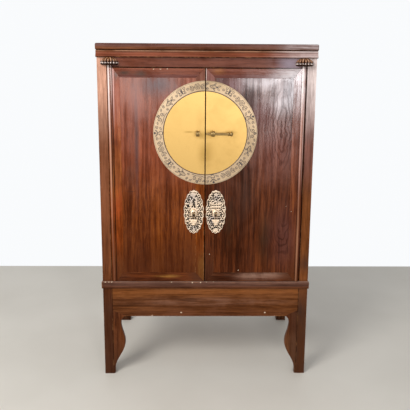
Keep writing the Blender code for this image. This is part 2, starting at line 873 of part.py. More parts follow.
def door(side, sign):
    """The leaf of one door: mitred frame, tongued panel and turned hinge post."""
    axis = door_axes[side]
    pivot = sign * AXIS_X
    outer = pivot - sign * (PIVOT_POST_RADIUS + QUIRK)
    panel_outer = outer - sign * HINGE_STILE
    edge = MEETING_X + sign * MEETING_GAP / 2
    panel_inner = edge + sign * MEETING_STILE
    panel_bottom = DOOR_Z + DOOR_BOTTOM_RAIL
    panel_top = DOOR_TOP - DOOR_TOP_RAIL
    slip = sign * FIT

    hinge_stile = part(
        turned(side + "_door_hinge_stile", post_profile(), (pivot, AXIS_Y, 0)),
        FRAME_WOOD,
        axis,
    )
    stile_outline = [
        (pivot, DOOR_Z),
        (outer, DOOR_Z),
        (panel_outer, panel_bottom),
        (panel_outer, panel_top),
        (outer, DOOR_TOP),
        (pivot, DOOR_TOP),
    ]
    place = (0, LEAF_FRONT + LEAF_THICK / 2, 0)
    board = prism(side + "_hinge_stile_board", [stile_outline], LEAF_THICK, place, FACING_FRONT)
    fuse(hinge_stile, helper(board, axis))
    quirk_start = pivot - sign * PIVOT_POST_RADIUS
    cut(
        hinge_stile,
        helper(
            box(
                side + "_quirk",
                (min(quirk_start, outer), LEAF_FRONT - GROWTH, DOOR_Z - GROWTH),
                (max(quirk_start, outer), LEAF_FRONT + QUIRK_DEPTH, DOOR_TOP + GROWTH),
            ),
            axis,
        ),
    )
    meeting_stile = leaf_prism(
        side + "_door_meeting_stile",
        [
            (edge, DOOR_Z),
            (edge, DOOR_TOP),
            (panel_inner, panel_top),
            (panel_inner, panel_bottom),
        ],
        axis,
        FRAME_WOOD,
    )
    top_rail = leaf_prism(
        side + "_door_top_rail",
        [
            (outer - 2 * slip, DOOR_TOP),
            (edge + 2 * slip, DOOR_TOP),
            (panel_inner + slip, panel_top),
            (panel_outer - slip, panel_top),
        ],
        axis,
        FRAME_WOOD,
    )
    bottom_rail = leaf_prism(
        side + "_door_bottom_rail",
        [
            (outer - 2 * slip, DOOR_Z),
            (edge + 2 * slip, DOOR_Z),
            (panel_inner + slip, panel_bottom),
            (panel_outer - slip, panel_bottom),
        ],
        axis,
        FRAME_WOOD,
    )
    rails = {"top": (top_rail, panel_top, DOOR_TOP), "bottom": (bottom_rail, DOOR_Z, panel_bottom)}
    for level, (rail, low_z, high_z) in rails.items():
        tenon_ends = (panel_inner - sign * DOOR_TENON_LENGTH, panel_outer + sign * DOOR_TENON_LENGTH)
        inset = (high_z - low_z) / 3
        tenon_low = (min(tenon_ends), AXIS_Y - DOOR_TENON_THICK / 2, low_z + inset)
        tenon_high = (max(tenon_ends), AXIS_Y + DOOR_TENON_THICK / 2, high_z - inset)
        fuse(rail, helper(box(side + "_" + level + "_door_tenon", tenon_low, tenon_high), axis))
        mortise = grown(side + "_" + level + "_door_mortise", tenon_low, tenon_high, FIT, axis)
        cut(hinge_stile, mortise)
        cut(meeting_stile, mortise)

    low = Vector((min(panel_outer, panel_inner) + FIT, LEAF_FRONT, panel_bottom + FIT))
    high = Vector((max(panel_outer, panel_inner) - FIT, LEAF_FRONT + PANEL_THICK, panel_top - FIT))
    reach = Vector((TONGUE_DEPTH, 0, TONGUE_DEPTH))
    tongue_low = low - reach
    tongue_high = high + reach
    tongue_low.y = LEAF_FRONT + PANEL_THICK - TONGUE_THICK
    panel = part(box(side + "_door_panel", low, high), PANEL_WOOD, axis)
    fuse(panel, helper(box(side + "_door_tongue", tongue_low, tongue_high), axis))
    groove = grown(side + "_door_groove", tongue_low, tongue_high, FIT, axis)
    for member in (hinge_stile, meeting_stile, top_rail, bottom_rail):
        cut(member, groove)
    return meeting_stile, panel


# Brass medallion, one half on each door

def half_plate(name, outer, inner, thick, sign, axis, finish):
    """Half of a round plate or ring, cut off at the doors' meeting edge."""
    trim = MEETING_GAP / 2 + PLATE_SETBACK
    start = math.asin(trim / outer)
    outline = arc(outer, start, math.pi - start, ARC_STEPS)
    if inner:
        start = math.asin(trim / inner)
        outline += reversed(arc(inner, start, math.pi - start, ARC_STEPS))
    mirrored = [(sign * across, up) for across, up in outline]
    place = (MEETING_X, PLATE_BACK - thick / 2, MEDALLION_Z)
    return part(prism(name, [mirrored], thick, place, FACING_FRONT), finish, axis)


def medallion(side, sign):
    """The satin disc and the engraved ring round it."""
    axis = door_axes[side]
    disc = half_plate(side + "_medallion_disc", DISC_RADIUS, 0, DISC_THICK, sign, axis, SATIN_BRASS)
    ring_inner = DISC_RADIUS + RING_GAP
    half_plate(
        side + "_medallion_ring", MEDALLION_RADIUS, ring_inner, RING_THICK, sign, axis, PALE_BRASS
    )
    return disc


def shank(name, place, front, back, axis):
    """A rivet shank with its rove, behind a fitting on a door."""
    x, z = place
    profile = [
        (0, front),
        (SHANK_RADIUS, front),
        (SHANK_RADIUS, back),
        (ROVE_RADIUS, back),
        (ROVE_HEAD_RADIUS, back + ROVE_THICK),
        (0, back + ROVE_THICK),
    ]
    downward = [(radius, -y) for radius, y in profile]
    return helper(turned(name, downward, (x, 0, z), FACING_FRONT), axis)


def shank_hole(name, place, axis):
    """The hole that a shank needs through its door."""
    x, z = place
    start = (x, PLATE_BACK - GROWTH, z)
    end = (x, LEAF_BACK + GROWTH, z)
    return helper(cylinder(name, SHANK_RADIUS + FIT, start, end), axis)


def lock_loop(side, sign, bore, bore_z, drilled):
    """A thick brass eye for the lock pin, riveted through the drilled pieces."""
    axis = door_axes[side]
    x = MEETING_X + sign * LOOP_OFFSET
    head = arc(LOOP_RADIUS, 0, -math.pi, ROUND_STEPS // 2, (PIN_Y, MEDALLION_Z))
    outline = [*head, (LOOP_BACK, MEDALLION_Z - LOOP_RADIUS), (LOOP_BACK, MEDALLION_Z + LOOP_RADIUS)]
    hole = arc(bore, 0, math.tau * (1 - 1 / ROUND_STEPS), ROUND_STEPS - 1, (PIN_Y, bore_z))
    loop = part(
        prism(side + "_lock_loop", [outline, hole], LOOP_WIDTH, (x, 0, 0), ALONG_X), DARK_BRASS, axis
    )
    place = (x, MEDALLION_Z)
    root = LOOP_BACK - (LOOP_REACH - bore) / 2
    fuse(loop, shank(side + "_lock_shank", place, root, LEAF_BACK + FIT, axis))
    hole_cutter = shank_hole(side + "_lock_shank_hole", place, axis)
    for piece in drilled:
        cut(piece, hole_cutter)


def lock_pin():
    """The sliding pin, drawn back on the right door: tip to the left, knob to the right."""
    profile = [
        (0, PIN_SHAFT + PIN_KNOB_LENGTH),
        (PIN_KNOB_END_RADIUS, PIN_SHAFT + PIN_KNOB_LENGTH),
        (PIN_KNOB_SHOULDER_RADIUS, PIN_SHAFT + PIN_KNOB_SHOULDER),
        (PIN_KNOB_RADIUS, PIN_SHAFT + PIN_KNOB_BELLY),
        (PIN_KNOB_NECK_RADIUS, PIN_SHAFT + PIN_KNOB_NECK),
        (PIN_WAIST_RADIUS, PIN_SHAFT + PIN_WAIST),
        (PIN_COLLAR_RADIUS, PIN_SHAFT + PIN_COLLAR_END),
        (PIN_COLLAR_RADIUS, PIN_SHAFT + PIN_COLLAR_START),
        (PIN_RADIUS, PIN_SHAFT),
        (PIN_RADIUS, PIN_TAPER),
        (PIN_POINT_RADIUS, PIN_POINT),
        (PIN_END_RADIUS, 0),
        (0, 0),
    ]
    place = (MEETING_X + PIN_TIP, PIN_Y, PIN_Z)
    pin_axis = anchor("lock_pin_axis", place, door_axes["right"])
    part(turned("lock_pin", profile, place, (0, math.radians(90), 0)), DARK_BRASS, pin_axis)


# Drop pulls

def scalloped_outline():
    """The edge of a pull plate: an oval drawn into lobes."""
    steps = PULL_LOBES * 6
    points = []
    for step in range(steps):
        turn = math.tau * step / steps
        lobe = PULL_LOBE_RISE * (abs(math.cos(PULL_LOBES * turn / 2)) - 1)
        points.append(
            ((PULL_WIDTH / 2 + lobe) * math.sin(turn), (PULL_HEIGHT / 2 + lobe) * math.cos(turn))
        )
    return points


def pierced_ovals():
    """Ovals pierced through the plate, in a ring inside its edge."""
    ovals = []
    for hole in range(PULL_HOLES):
        turn = math.tau * (2 * hole + 1) / (2 * PULL_HOLES)
        x = PULL_HOLE_RING * PULL_WIDTH / 2 * math.sin(turn)
        z = PULL_HOLE_RING * PULL_HEIGHT / 2 * math.cos(turn)
        ring = arc(1, 0, math.tau * (1 - 1 / PULL_HOLE_STEPS), PULL_HOLE_STEPS - 1)
        ovals.append([(x + PULL_HOLE_HALF_WIDTH * a, z + PULL_HOLE_HALF_HEIGHT * b) for a, b in ring])
    return ovals


def boss_outline():
    """The domed staple head: a round arch with two short legs."""
    legs = [(BOSS_RADIUS, -BOSS_LEG), (-BOSS_RADIUS, -BOSS_LEG)]
    return [*arc(BOSS_RADIUS, -math.pi / 2, math.pi / 2, ROUND_STEPS // 2), *legs]


def drop_outline():
    """The vase-shaped drop: an eye, a neck, a collar and a bowl."""
    waist = (DROP_WAIST_HALF, -DROP_WAIST_DROP)
    bowl = (DROP_BOWL_HALF, -DROP_BOWL_DROP)
    right = [
        *arc(EYE_RADIUS, 0, EYE_WRAP, ROUND_STEPS // 3),
        (DROP_NECK_HALF, -DROP_COLLAR_DROP),
        (DROP_COLLAR_HALF, -DROP_COLLAR_DROP),
        (DROP_COLLAR_HALF, -DROP_COLLAR_DROP - DROP_COLLAR_HEIGHT),
        waist,
        *eased(waist, bowl),
        *eased(bowl, (DROP_FOOT_HALF, -DROP_LENGTH)),
    ]
    return right + [(-x, z) for x, z in reversed(right[1:])]


def pull(side, sign, panel):
    """A pierced plate, its domed boss with a hinge pin, and the drop that swings on it."""
    axis = door_axes[side]
    x = MEETING_X + sign * PULL_OFFSET
    rivet = (x, BOSS_Z + (BOSS_SLOT_TOP + BOSS_RADIUS) / 2)
    plate_place = (x, PLATE_BACK - PULL_THICK / 2, PULL_Z)
    plate = part(
        prism(
            side + "_pull_plate",
            [scalloped_outline(), *pierced_ovals()],
            PULL_THICK,
            plate_place,
            FACING_FRONT,
        ),
        PALE_BRASS,
        axis,
    )
    hole_cutter = shank_hole(side + "_pull_shank_hole", rivet, axis)
    cut(plate, hole_cutter)
    cut(panel, hole_cutter)

    boss = part(
        prism(side + "_pull_boss", [boss_outline()], BOSS_DEPTH, (x, HINGE_Y, BOSS_Z), FACING_FRONT),
        PALE_BRASS,
        axis,
    )
    cut(
        boss,
        helper(
            box(
                side + "_boss_slot",
                (x - BOSS_SLOT / 2, BOSS_BACK - BOSS_DEPTH - GROWTH, BOSS_Z - BOSS_LEG - GROWTH),
                (x + BOSS_SLOT / 2, BOSS_BACK + GROWTH, BOSS_Z + BOSS_SLOT_TOP),
            ),
            axis,
        ),
    )
    pin_half = (BOSS_SLOT + BOSS_RADIUS) / 2
    pin_start = (x - pin_half, HINGE_Y, BOSS_Z)
    pin_end = (x + pin_half, HINGE_Y, BOSS_Z)
    fuse(boss, helper(cylinder(side + "_hinge_pin", HINGE_PIN_RADIUS, pin_start, pin_end), axis))
    fuse(boss, shank(side + "_pull_shank", rivet, HINGE_Y, LEAF_FRONT + PANEL_THICK + FIT, axis))

    pull_axis = anchor(side + "_pull_axis", (x, HINGE_Y, BOSS_Z), axis)
    drop = part(
        prism(side + "_pull_drop", [drop_outline()], DROP_THICK, (x, HINGE_Y, BOSS_Z), FACING_FRONT),
        PALE_BRASS,
        pull_axis,
    )
    eye_start = (x - DROP_COLLAR_HALF, HINGE_Y, BOSS_Z)
    eye_end = (x + DROP_COLLAR_HALF, HINGE_Y, BOSS_Z)
    cut(
        drop,
        helper(
            cylinder(side + "_drop_eye", HINGE_PIN_RADIUS + HINGE_PLAY, eye_start, eye_end), pull_axis
        ),
    )


EYES = {LEFT: (PIN_RADIUS + KEEPER_PLAY, PIN_Z), RIGHT: (LOOP_HOLE, MEDALLION_Z)}
for side, sign in SIDES.items():
    meeting_stile, door_panel = door(side, sign)
    disc = medallion(side, sign)
    lock_loop(side, sign, *EYES[sign], (meeting_stile, door_panel, disc))
    pull(side, sign, door_panel)
lock_pin()

for obj in parts.objects:
    if obj.type == "MESH":
        obj.data.shade_smooth()
        obj.data.set_sharp_from_angle(angle=math.radians(35))
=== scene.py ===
"""The looks of a Chinese wedding cabinet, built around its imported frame."""

import json
import math
from functools import cached_property

import bmesh
import bpy
import numpy as np
from mathutils import Matrix, Vector


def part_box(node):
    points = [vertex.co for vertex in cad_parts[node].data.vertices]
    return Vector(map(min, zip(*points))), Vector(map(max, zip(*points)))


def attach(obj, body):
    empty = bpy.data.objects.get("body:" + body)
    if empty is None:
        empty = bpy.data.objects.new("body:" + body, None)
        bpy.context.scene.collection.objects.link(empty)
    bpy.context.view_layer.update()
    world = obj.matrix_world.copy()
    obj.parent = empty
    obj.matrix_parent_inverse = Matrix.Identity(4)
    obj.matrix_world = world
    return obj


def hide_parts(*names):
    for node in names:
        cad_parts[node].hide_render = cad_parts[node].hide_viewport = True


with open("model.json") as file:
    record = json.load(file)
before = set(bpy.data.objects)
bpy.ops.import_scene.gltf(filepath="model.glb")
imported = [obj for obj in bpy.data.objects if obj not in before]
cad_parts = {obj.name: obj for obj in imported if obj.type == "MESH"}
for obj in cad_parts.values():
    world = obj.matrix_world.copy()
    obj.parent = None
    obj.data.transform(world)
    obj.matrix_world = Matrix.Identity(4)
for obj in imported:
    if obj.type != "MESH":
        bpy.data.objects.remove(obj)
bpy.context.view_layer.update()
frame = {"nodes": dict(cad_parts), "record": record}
NODES = frame["nodes"]
BODY = {n: body for body, members in frame["record"]["behaviour"]["bodies"].items() for n in members}
SLOT = {row["node"]: row["material_slot"] for row in frame["record"]["subparts"]}
SIDES = {"left": -1, "right": 1}
X, Y, Z = 0, 1, 2
MM = 0.001

# Places taken over from the part, in metres
MEETING_X = -0.007
MEDALLION_Z = 1.35
MEDALLION_RADIUS = 0.2675
DISC_RADIUS = 0.2137
PULL_Z = 0.9345
PULL_HALF_WIDTH = 0.05375
PULL_HALF_HEIGHT = 0.1185
PULL_LOBES = 18
PULL_LOBE_RISE = 0.005
HINGE_Z = 0.93
AXIS_X = 0.4925
FRONT_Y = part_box("front_post_left")[0].y
HINGE_Y = FRONT_Y - 0.0218
CAP_RADIUS = 0.046
CAP_RISE = 0.03
CAP_DROP = 0.0098
CAP_LOBES = 16
PIN_Y = FRONT_Y - 0.0322


# Materials

class Graph:
    """The nodes of a material or a world, built by short calls."""

    def __init__(self, owner):
        self.owner = owner
        owner.use_nodes = True
        self.tree = owner.node_tree
        self.tree.nodes.clear()

    @cached_property
    def place(self):
        return self.add("ShaderNodeTexCoord").outputs["Object"]

    def put(self, socket, value):
        if isinstance(value, bpy.types.NodeSocket):
            self.tree.links.new(value, socket)
        else:
            socket.default_value = value

    def add(self, kind, inputs=None, **settings):
        node = self.tree.nodes.new(kind)
        for key, value in settings.items():
            setattr(node, key, value)
        for key, value in (inputs or {}).items():
            self.put(node.inputs[key], value)
        return node

    def math(self, operation, *values):
        return self.add("ShaderNodeMath", dict(enumerate(values)), operation=operation).outputs[0]

    def product(self, first, second):
        return self.math("MULTIPLY", first, second)

    def plus(self, value, layer, share):
        """A value with a share of a layer added."""
        return self.math("MULTIPLY_ADD", layer, share, value)

    def faded(self, value, mask, share=1.0):
        """A value that falls by a share where the mask is one."""
        return self.product(value, self.plus(1.0, mask, -share))

    def span(self, value, low, high, to_low=0.0, to_high=1.0):
        inputs = {"Value": value, "From Min": low, "From Max": high, "To Min": to_low, "To Max": to_high}
        return self.add("ShaderNodeMapRange", inputs, interpolation_type="SMOOTHSTEP").outputs["Result"]

    def moved(self, scale, shift=(0, 0, 0)):
        inputs = {"Vector": self.place, "Location": shift, "Scale": scale}
        return self.add("ShaderNodeMapping", inputs).outputs[0]

    def noise(self, vector, *values, output="Fac"):
        inputs = dict(zip(("Scale", "Detail", "Roughness", "Distortion"), values))
        return self.add("ShaderNodeTexNoise", {"Vector": vector, **inputs}).outputs[output]

    def axis(self, number):
        return self.add("ShaderNodeSeparateXYZ", {0: self.place}).outputs[number]

    def relief(self):
        return self.add("ShaderNodeAttribute", attribute_name="relief").outputs["Fac"]

    def distance(self, place, point):
        node = self.add("ShaderNodeVectorMath", {0: place, 1: point}, operation="DISTANCE")
        return node.outputs["Value"]

    def near(self, point, radius, stretch=(1, 1, 1), place=None):
        """One at a point, zero beyond the radius; stretch shortens the reach along an axis."""
        scaled = self.add("ShaderNodeMapping", {"Vector": place or self.place, "Scale": stretch}).outputs[0]
        aim = tuple(p * s for p, s in zip(point, stretch))
        return self.span(self.distance(scaled, aim), radius, 0.0)

    def ramp(self, factor, stops):
        node = self.add("ShaderNodeValToRGB", {"Fac": factor})
        elements = node.color_ramp.elements
        while len(elements) < len(stops):
            elements.new(0.5)
        for element, (position, colour) in zip(elements, stops):
            element.position = position
            element.color = (*colour, 1)
        return node.outputs["Color"]

    def mix(self, factor, first, second):
        node = self.add("ShaderNodeMix", data_type="RGBA")
        for socket, value in zip((node.inputs[0], node.inputs[6], node.inputs[7]), (factor, first, second)):
            self.put(socket, (*value, 1) if isinstance(value, tuple) else value)
        return node.outputs[2]

    def bump(self, height, strength, distance):
        inputs = {"Height": height, "Strength": strength, "Distance": distance}
        return self.add("ShaderNodeBump", inputs).outputs[0]

    def surface(self, inputs):
        shader = self.add("ShaderNodeBsdfPrincipled", inputs)
        self.add("ShaderNodeOutputMaterial", {"Surface": shader.outputs[0]})
        return self.owner


def new_material(name):
    return Graph(bpy.data.materials.new(name))


def seed_of(name):
    """A shift of the noise from the letters of a name, so that like pieces differ."""
    return sum(name.encode()) % 89


# Four tones of each finish, from the dark lines of the grain to the light ones
LACQUER = ((0.016, 0.0042, 0.0016), (0.06, 0.0155, 0.0045), (0.128, 0.035, 0.009), (0.24, 0.076, 0.02))
DARK = ((0.012, 0.0038, 0.0018), (0.04, 0.0125, 0.0042), (0.082, 0.027, 0.0085), (0.15, 0.052, 0.016))
ORANGE = ((0.026, 0.0075, 0.0025), (0.094, 0.028, 0.0075), (0.172, 0.056, 0.015), (0.28, 0.105, 0.03))
RED_DOOR = ((0.02, 0.0044, 0.0012), (0.092, 0.0185, 0.003), (0.205, 0.047, 0.0058), (0.39, 0.112, 0.013))
DARK_DOOR = (
    (0.012, 0.0034, 0.0016), (0.054, 0.0125, 0.0036), (0.122, 0.0285, 0.0066), (0.23, 0.066, 0.014)
)
# Tones of the cap beads, near white for a painted highlight
BEAD_HIGHLIGHT = ((0.72, 0.5, 0.42), (0.92, 0.75, 0.67), (0.97, 0.86, 0.8), (0.99, 0.93, 0.9))
RAW = ((0.15, 0.08, 0.038), (0.24, 0.14, 0.07), (0.34, 0.205, 0.108), (0.45, 0.29, 0.165))
TONE_PLACES = (0.36, 0.46, 0.54, 0.65)
TAN = (0.38, 0.17, 0.068)
PALE_CHIP = (0.62, 0.47, 0.33)
DEEP_TINT = (0.03, 0.011, 0.006)

# Noise of the wood: scale, detail, roughness and distortion
BROAD_GRAIN = (8.0, 4.0, 0.6, 0.9)
STREAKS = (52.0, 5.0, 0.68, 0.5)
CLOUDS = (5.0, 4.0, 0.6, 0.6)
FINE_GRAIN = (260.0, 3.0, 0.6)
EDGE_WEAR = (26.0, 4.0, 0.7)
PORES = (330.0, 2.0, 0.5)
CHIP_EDGE = (190.0, 3.0)

FIGURE_SHARES = (0.3, 0.34, 0.14, 0.22)
GRAIN_STRETCH = 0.05
PORE_STRETCH = 1.6
WORN_WIDTH = 0.006
CHIP_SHAKE = 0.008
FRONT_DEPTH = 0.018
PANEL_DEPTH = 0.009


def edge_mask(g, low, high, width):
    """One along the edges of a box, fading out over a width."""
    inner = []
    for axis in (X, Y, Z):
        place = g.axis(axis)
        from_low = g.math("SUBTRACT", place, low[axis])
        from_high = g.math("SUBTRACT", high[axis], place)
        inner.append(g.math("MINIMUM", from_low, from_high))
    lesser = g.math("MINIMUM", inner[0], inner[1])
    greater = g.math("MAXIMUM", inner[0], inner[1])
    second = g.math("MAXIMUM", lesser, g.math("MINIMUM", greater, inner[2]))
    return g.span(second, width, 0.0)


def flame_lines(g, front, depth, point, spacing, reach, squeeze, fall):
    """Thin nested arches of a flat-sawn board, drawn out along the grain; they show below the point."""
    x, z = point
    distance = g.distance(g.moved((1.0, 0.0, squeeze)), (x, 0.0, z * squeeze))
    warped = g.plus(distance, g.noise(g.place, 7.0, 3.0, 0.55), 0.075)
    wave = g.math("SINE", g.product(warped, math.tau / spacing))
    lines = g.product(g.span(wave, 0.35, 0.95), g.span(warped, 0.9 * spacing, 2.2 * spacing))
    return g.product(lines, g.near((x, front, z - fall), reach, (1.0, reach / depth, 0.55)))


def wood(
    name,
    box,
    grain,
    tones,
    gloss=0.3,
    shine=(0.1, 0.2),
    wear=0.4,
    tints=(),
    patches=(),
    chips=(),
    flames=(),
    lacquer=True,
    depth=FRONT_DEPTH,
):
    """Lacquered or bare elm with its grain along one axis, worn at the edges of a box.

    A tint is (axis, start, end, colour, amount), a patch ((x, z), radius, (across, upright), colour,
    amount), where the pair shortens its reach, and a chip (x, z, radius). Patches, chips and flames
    go no deeper behind the front than the depth. Full amounts of the deep tint take the shine away.
    Tints and patches carry the wood's own tones as well as painted highlights, reflections and shade.
    """
    g = new_material(name)
    seed = seed_of(name)
    front = box[0][Y]
    stretch = [1.0, 1.0, 1.0]
    stretch[grain] = GRAIN_STRETCH
    fibre = g.moved(stretch, (seed * 0.37, seed * 0.53, seed * 0.71))
    broad = g.noise(fibre, *BROAD_GRAIN)
    streak = g.noise(fibre, *STREAKS)
    fine = g.noise(fibre, *FINE_GRAIN)
    cloud = g.noise(g.moved((1, 1, 1), (seed, 0, seed)), *CLOUDS)
    mottle = g.math("ADD", streak, cloud)
    figure = 0.0
    for layer, share in zip((broad, streak, cloud, fine), FIGURE_SHARES):
        figure = g.plus(figure, layer, share)
    colour = g.ramp(figure, list(zip(TONE_PLACES, tones)))
    polish = g.product(g.span(g.axis(Z), 0.75, 1.6, *shine), g.span(mottle, 0.8, 1.18, 0.45, 1.4))
    height = g.plus(streak, fine, 0.5)

    for axis, start, end, tint, amount in tints:
        reach = g.span(g.axis(axis), start, end, 0.0, amount)
        if amount < 1:
            reach = g.product(reach, g.span(figure, 0.4, 0.58, 0.45, 1.0))
        elif tint == DEEP_TINT:
            polish = g.faded(polish, reach)
        colour = g.mix(reach, colour, tint)
    for (x, z), radius, (across, upright), tint, amount in patches:
        spot = g.near((x, front, z), radius, (across, radius / depth, upright))
        if amount != 1:
            cover = amount if isinstance(amount, tuple) else (0.15, amount)
            spot = g.product(spot, g.span(mottle, 0.82, 1.12, *cover))
        elif tint == DEEP_TINT:
            polish = g.faded(polish, spot)
        colour = g.mix(spot, colour, tint)
    for flame in flames:
        arches = flame_lines(g, front, depth, *flame)
        colour = g.mix(g.product(arches, 0.45), colour, tones[0])
        height = g.plus(height, arches, -0.7)
        polish = g.faded(polish, arches, 0.55)

    worn = g.span(g.noise(g.place, *EDGE_WEAR), 0.44, 0.68, 0.0, wear)
    rubbed = g.product(edge_mask(g, *box, WORN_WIDTH), worn)
    colour = g.mix(rubbed, colour, TAN if lacquer else tones[3])
    pores = g.noise(g.moved([PORE_STRETCH * s for s in stretch]), *PORES)
    pores = g.span(pores, 0.6, 0.72, 0.0, 0.45)
    colour = g.mix(pores, colour, tones[0])
    height = g.plus(height, pores, -1.0)
    rough = g.plus(g.plus(gloss - 0.11, streak, 0.22), rubbed, 0.25)

    if chips:
        wander = g.noise(g.place, *CHIP_EDGE, output="Color")
        shaken = {0: wander, 1: (CHIP_SHAKE, 0, CHIP_SHAKE), 2: g.place}
        shaken = g.add("ShaderNodeVectorMath", shaken, operation="MULTIPLY_ADD").outputs[0]
    for x, z, radius in chips:
        aim = (x + CHIP_SHAKE / 2, front, z + CHIP_SHAKE / 2)
        along = [1, radius / depth, 1]
        along[grain] = 0.6
        scar = g.span(g.near(aim, radius, along, shaken), 0.25, 0.55)
        colour = g.mix(scar, colour, PALE_CHIP)
        rough = g.plus(rough, scar, 0.3)
        height = g.plus(height, scar, -2.0)
    inputs = {
        "Base Color": colour,
        "Roughness": rough,
        "Specular IOR Level": polish,
        "Normal": g.bump(height, 0.25, 0.0005),
    }
    return g.surface(inputs)


def brass(name, colour, dark, gloss, patina=0.45, chased=False, smudges=(), stain=None):
    """Worn brass: brushed lines, patina in clouds, dark recesses where the piece has relief.

    A smudge is ((x, z), radius, (across, upright), amount), through the whole thickness.
    """
    g = new_material(name)
    seed = seed_of(name)
    brushed = g.noise(g.moved((30.0, 30.0, 700.0), (seed, 0, 0)), 1.0, 3.0, 0.6)
    cloud = g.noise(g.moved((1, 1, 1), (0, seed, 0)), 9.0, 5.0, 0.62, 0.5)
    fleck = g.noise(g.place, 120.0, 4.0, 0.65)
    aged = g.span(cloud, 0.44, 0.74, 0.0, patina)
    shade = g.mix(aged, colour, tuple(0.62 * c + 0.38 * d for c, d in zip(colour, dark)))
    shade = g.mix(g.span(fleck, 0.6, 0.78, 0.0, 0.5 * patina), shade, dark)
    rough = g.plus(g.plus(gloss - 0.08, brushed, 0.16), aged, 0.18)
    height = g.plus(g.product(brushed, 0.35), fleck, 0.8)
    if chased:
        hollow = g.span(g.relief(), 0.55, 0.05, 0.0, 0.85)
        shade = g.mix(hollow, shade, dark)
        rough = g.plus(rough, hollow, 0.2)
    for (x, z), radius, (across, upright), amount in smudges:
        spot = g.near((x, 0, z), radius, (across, 0, upright))
        spot = g.product(spot, g.span(cloud, 0.3, 0.6, 0.5, 1.0))
        shade = g.mix(g.product(spot, amount), shade, stain or dark)
    inputs = {
        "Base Color": shade,
        "Metallic": 1.0,
        "Roughness": rough,
        "Normal": g.bump(height, 0.12, 0.0005),
    }
    return g.surface(inputs)


# Pieces

def keep(obj, body, slot, *replaced):
    """Puts a finished piece on its body and hides the nodes it stands for; the slot is not used."""
    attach(obj, body)
    if replaced:
        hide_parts(*replaced)
    return obj


def linked(name, data):
    """A new object in the scene."""
    obj = bpy.data.objects.new(name, data)
    bpy.context.scene.collection.objects.link(obj)
    return obj


def mesh_object(name, verts, faces, finish, sharp=40.0):
    mesh = bpy.data.meshes.new(name)
    mesh.from_pydata([tuple(v) for v in verts], [], faces)
    mesh.validate()
    mesh.materials.append(finish)
    mesh.shade_smooth()
    mesh.set_sharp_from_angle(angle=math.radians(sharp))
    return linked(name, mesh)


def joined(name, pieces, finish, sharp=40.0):
    """One object from several lists of vertices and faces."""
    verts, faces = [], []
    for piece_verts, piece_faces in pieces:
        base = len(verts)
        verts += piece_verts
        faces += [[base + i for i in face] for face in piece_faces]
    return mesh_object(name, verts, faces, finish, sharp)


def relief_object(name, built, finish, place, sharp=50.0):
    """A piece from its vertices, faces and relief, moved to its place."""
    verts, faces, relief = built
    shifted = [(v[0] + place[0], v[1] + place[1], v[2] + place[2]) for v in verts]
    obj = mesh_object(name, shifted, faces, finish, sharp)
    attribute = obj.data.attributes.new("relief", "FLOAT", "POINT")
    attribute.data.foreach_set("value", np.array(relief, np.float32))
    return obj


def softened(node, finish, width, segments=2):
    """A CAD node with its edges eased, on the node's own body."""
    source = NODES[node].data
    shape = bmesh.new()
    verts = [shape.verts.new(v.co) for v in source.vertices]
    for polygon in source.polygons:
        corners = [verts[i] for i in polygon.vertices]
        if len(set(corners)) > 2 and shape.faces.get(corners) is None:
            shape.faces.new(corners)
    bmesh.ops.remove_doubles(shape, verts=shape.verts, dist=1e-5)
    bmesh.ops.dissolve_limit(shape, angle_limit=math.radians(1), verts=shape.verts, edges=shape.edges)
    bmesh.ops.recalc_face_normals(shape, faces=shape.faces)
    mesh = bpy.data.meshes.new(node + "_eased")
    shape.to_mesh(mesh)
    shape.free()
    mesh.materials.append(finish)
    mesh.shade_smooth()
    obj = linked(node + "_eased", mesh)
    bevel = obj.modifiers.new("ease", "BEVEL")
    bevel.width = width
    bevel.segments = segments
    bevel.limit_method = "ANGLE"
    bevel.angle_limit = math.radians(35)
    bevel.use_clamp_overlap = True
    bevel.miter_outer = "MITER_ARC"
    weighted = obj.modifiers.new("normals", "WEIGHTED_NORMAL")
    weighted.keep_sharp = True
    return keep(obj, BODY[node], SLOT[node], node)


def next_ring(verts, count):
    """The numbers of a ring of vertices that is about to be added."""
    return list(range(len(verts), len(verts) + count))


def skin(rings):
    """Faces between rings of vertex numbers, listed upward; a ring of one vertex is a pole."""
    faces = []
    for low, high in zip(rings, rings[1:]):
        count = max(len(low), len(high))
        for step in range(count):
            following = (step + 1) % count
            if len(low) == 1:
                faces.append([low[0], high[following], high[step]])
            elif len(high) == 1:
                faces.append([low[step], low[following], high[0]])
            else:
                faces.append([low[step], low[following], high[following], high[step]])
    return faces


def bar(sections):
    """Vertices and faces of a closed bar through equal rings of points."""
    verts, rings = [], []
    for section in sections:
        rings.append(next_ring(verts, len(section)))
        verts += section
    return verts, [*skin(rings), rings[0][::-1], rings[-1]]


def lathe(profile, steps, place, along=Z):
    """Vertices and faces of a turned form; profile is (radius, height), upward, closed at both ends."""
    verts, rings = [], []
    across, beside = (axis for axis in (X, Y, Z) if axis != along)
    for radius, height in profile:
        count = steps if radius > 1e-7 else 1
        rings.append(next_ring(verts, count))
        for step in range(count):
            turn = math.tau * step / steps
            point = list(place)
            point[along] += height
            point[across] += radius * math.cos(turn)
            point[beside] += radius * math.sin(turn)
            verts.append(point)
    faces = skin(rings)
    if along == Y:
        faces = [face[::-1] for face in faces]
    return verts, faces


def rounded_profile(points, steps):
    """A smooth (radius, height) profile through the given points."""
    points = np.array([points[0], *points, points[-1]])
    smooth = []
    for before, start, end, after in zip(points, points[1:], points[2:], points[3:]):
        for t in np.arange(steps) / steps:
            slope = (end - before) * t
            bend = (2 * before - 5 * start + 4 * end - after) * t ** 2
            twist = (3 * start - before - 3 * end + after) * t ** 3
            radius, height = start + (slope + bend + twist) / 2
            smooth.append((max(radius, 0.0), height))
    return [*smooth, points[-1]]


def in_metres(profile):
    return [(MM * first, MM * second) for first, second in profile]


# Plane fields: positive inside a form, more so further from its edge

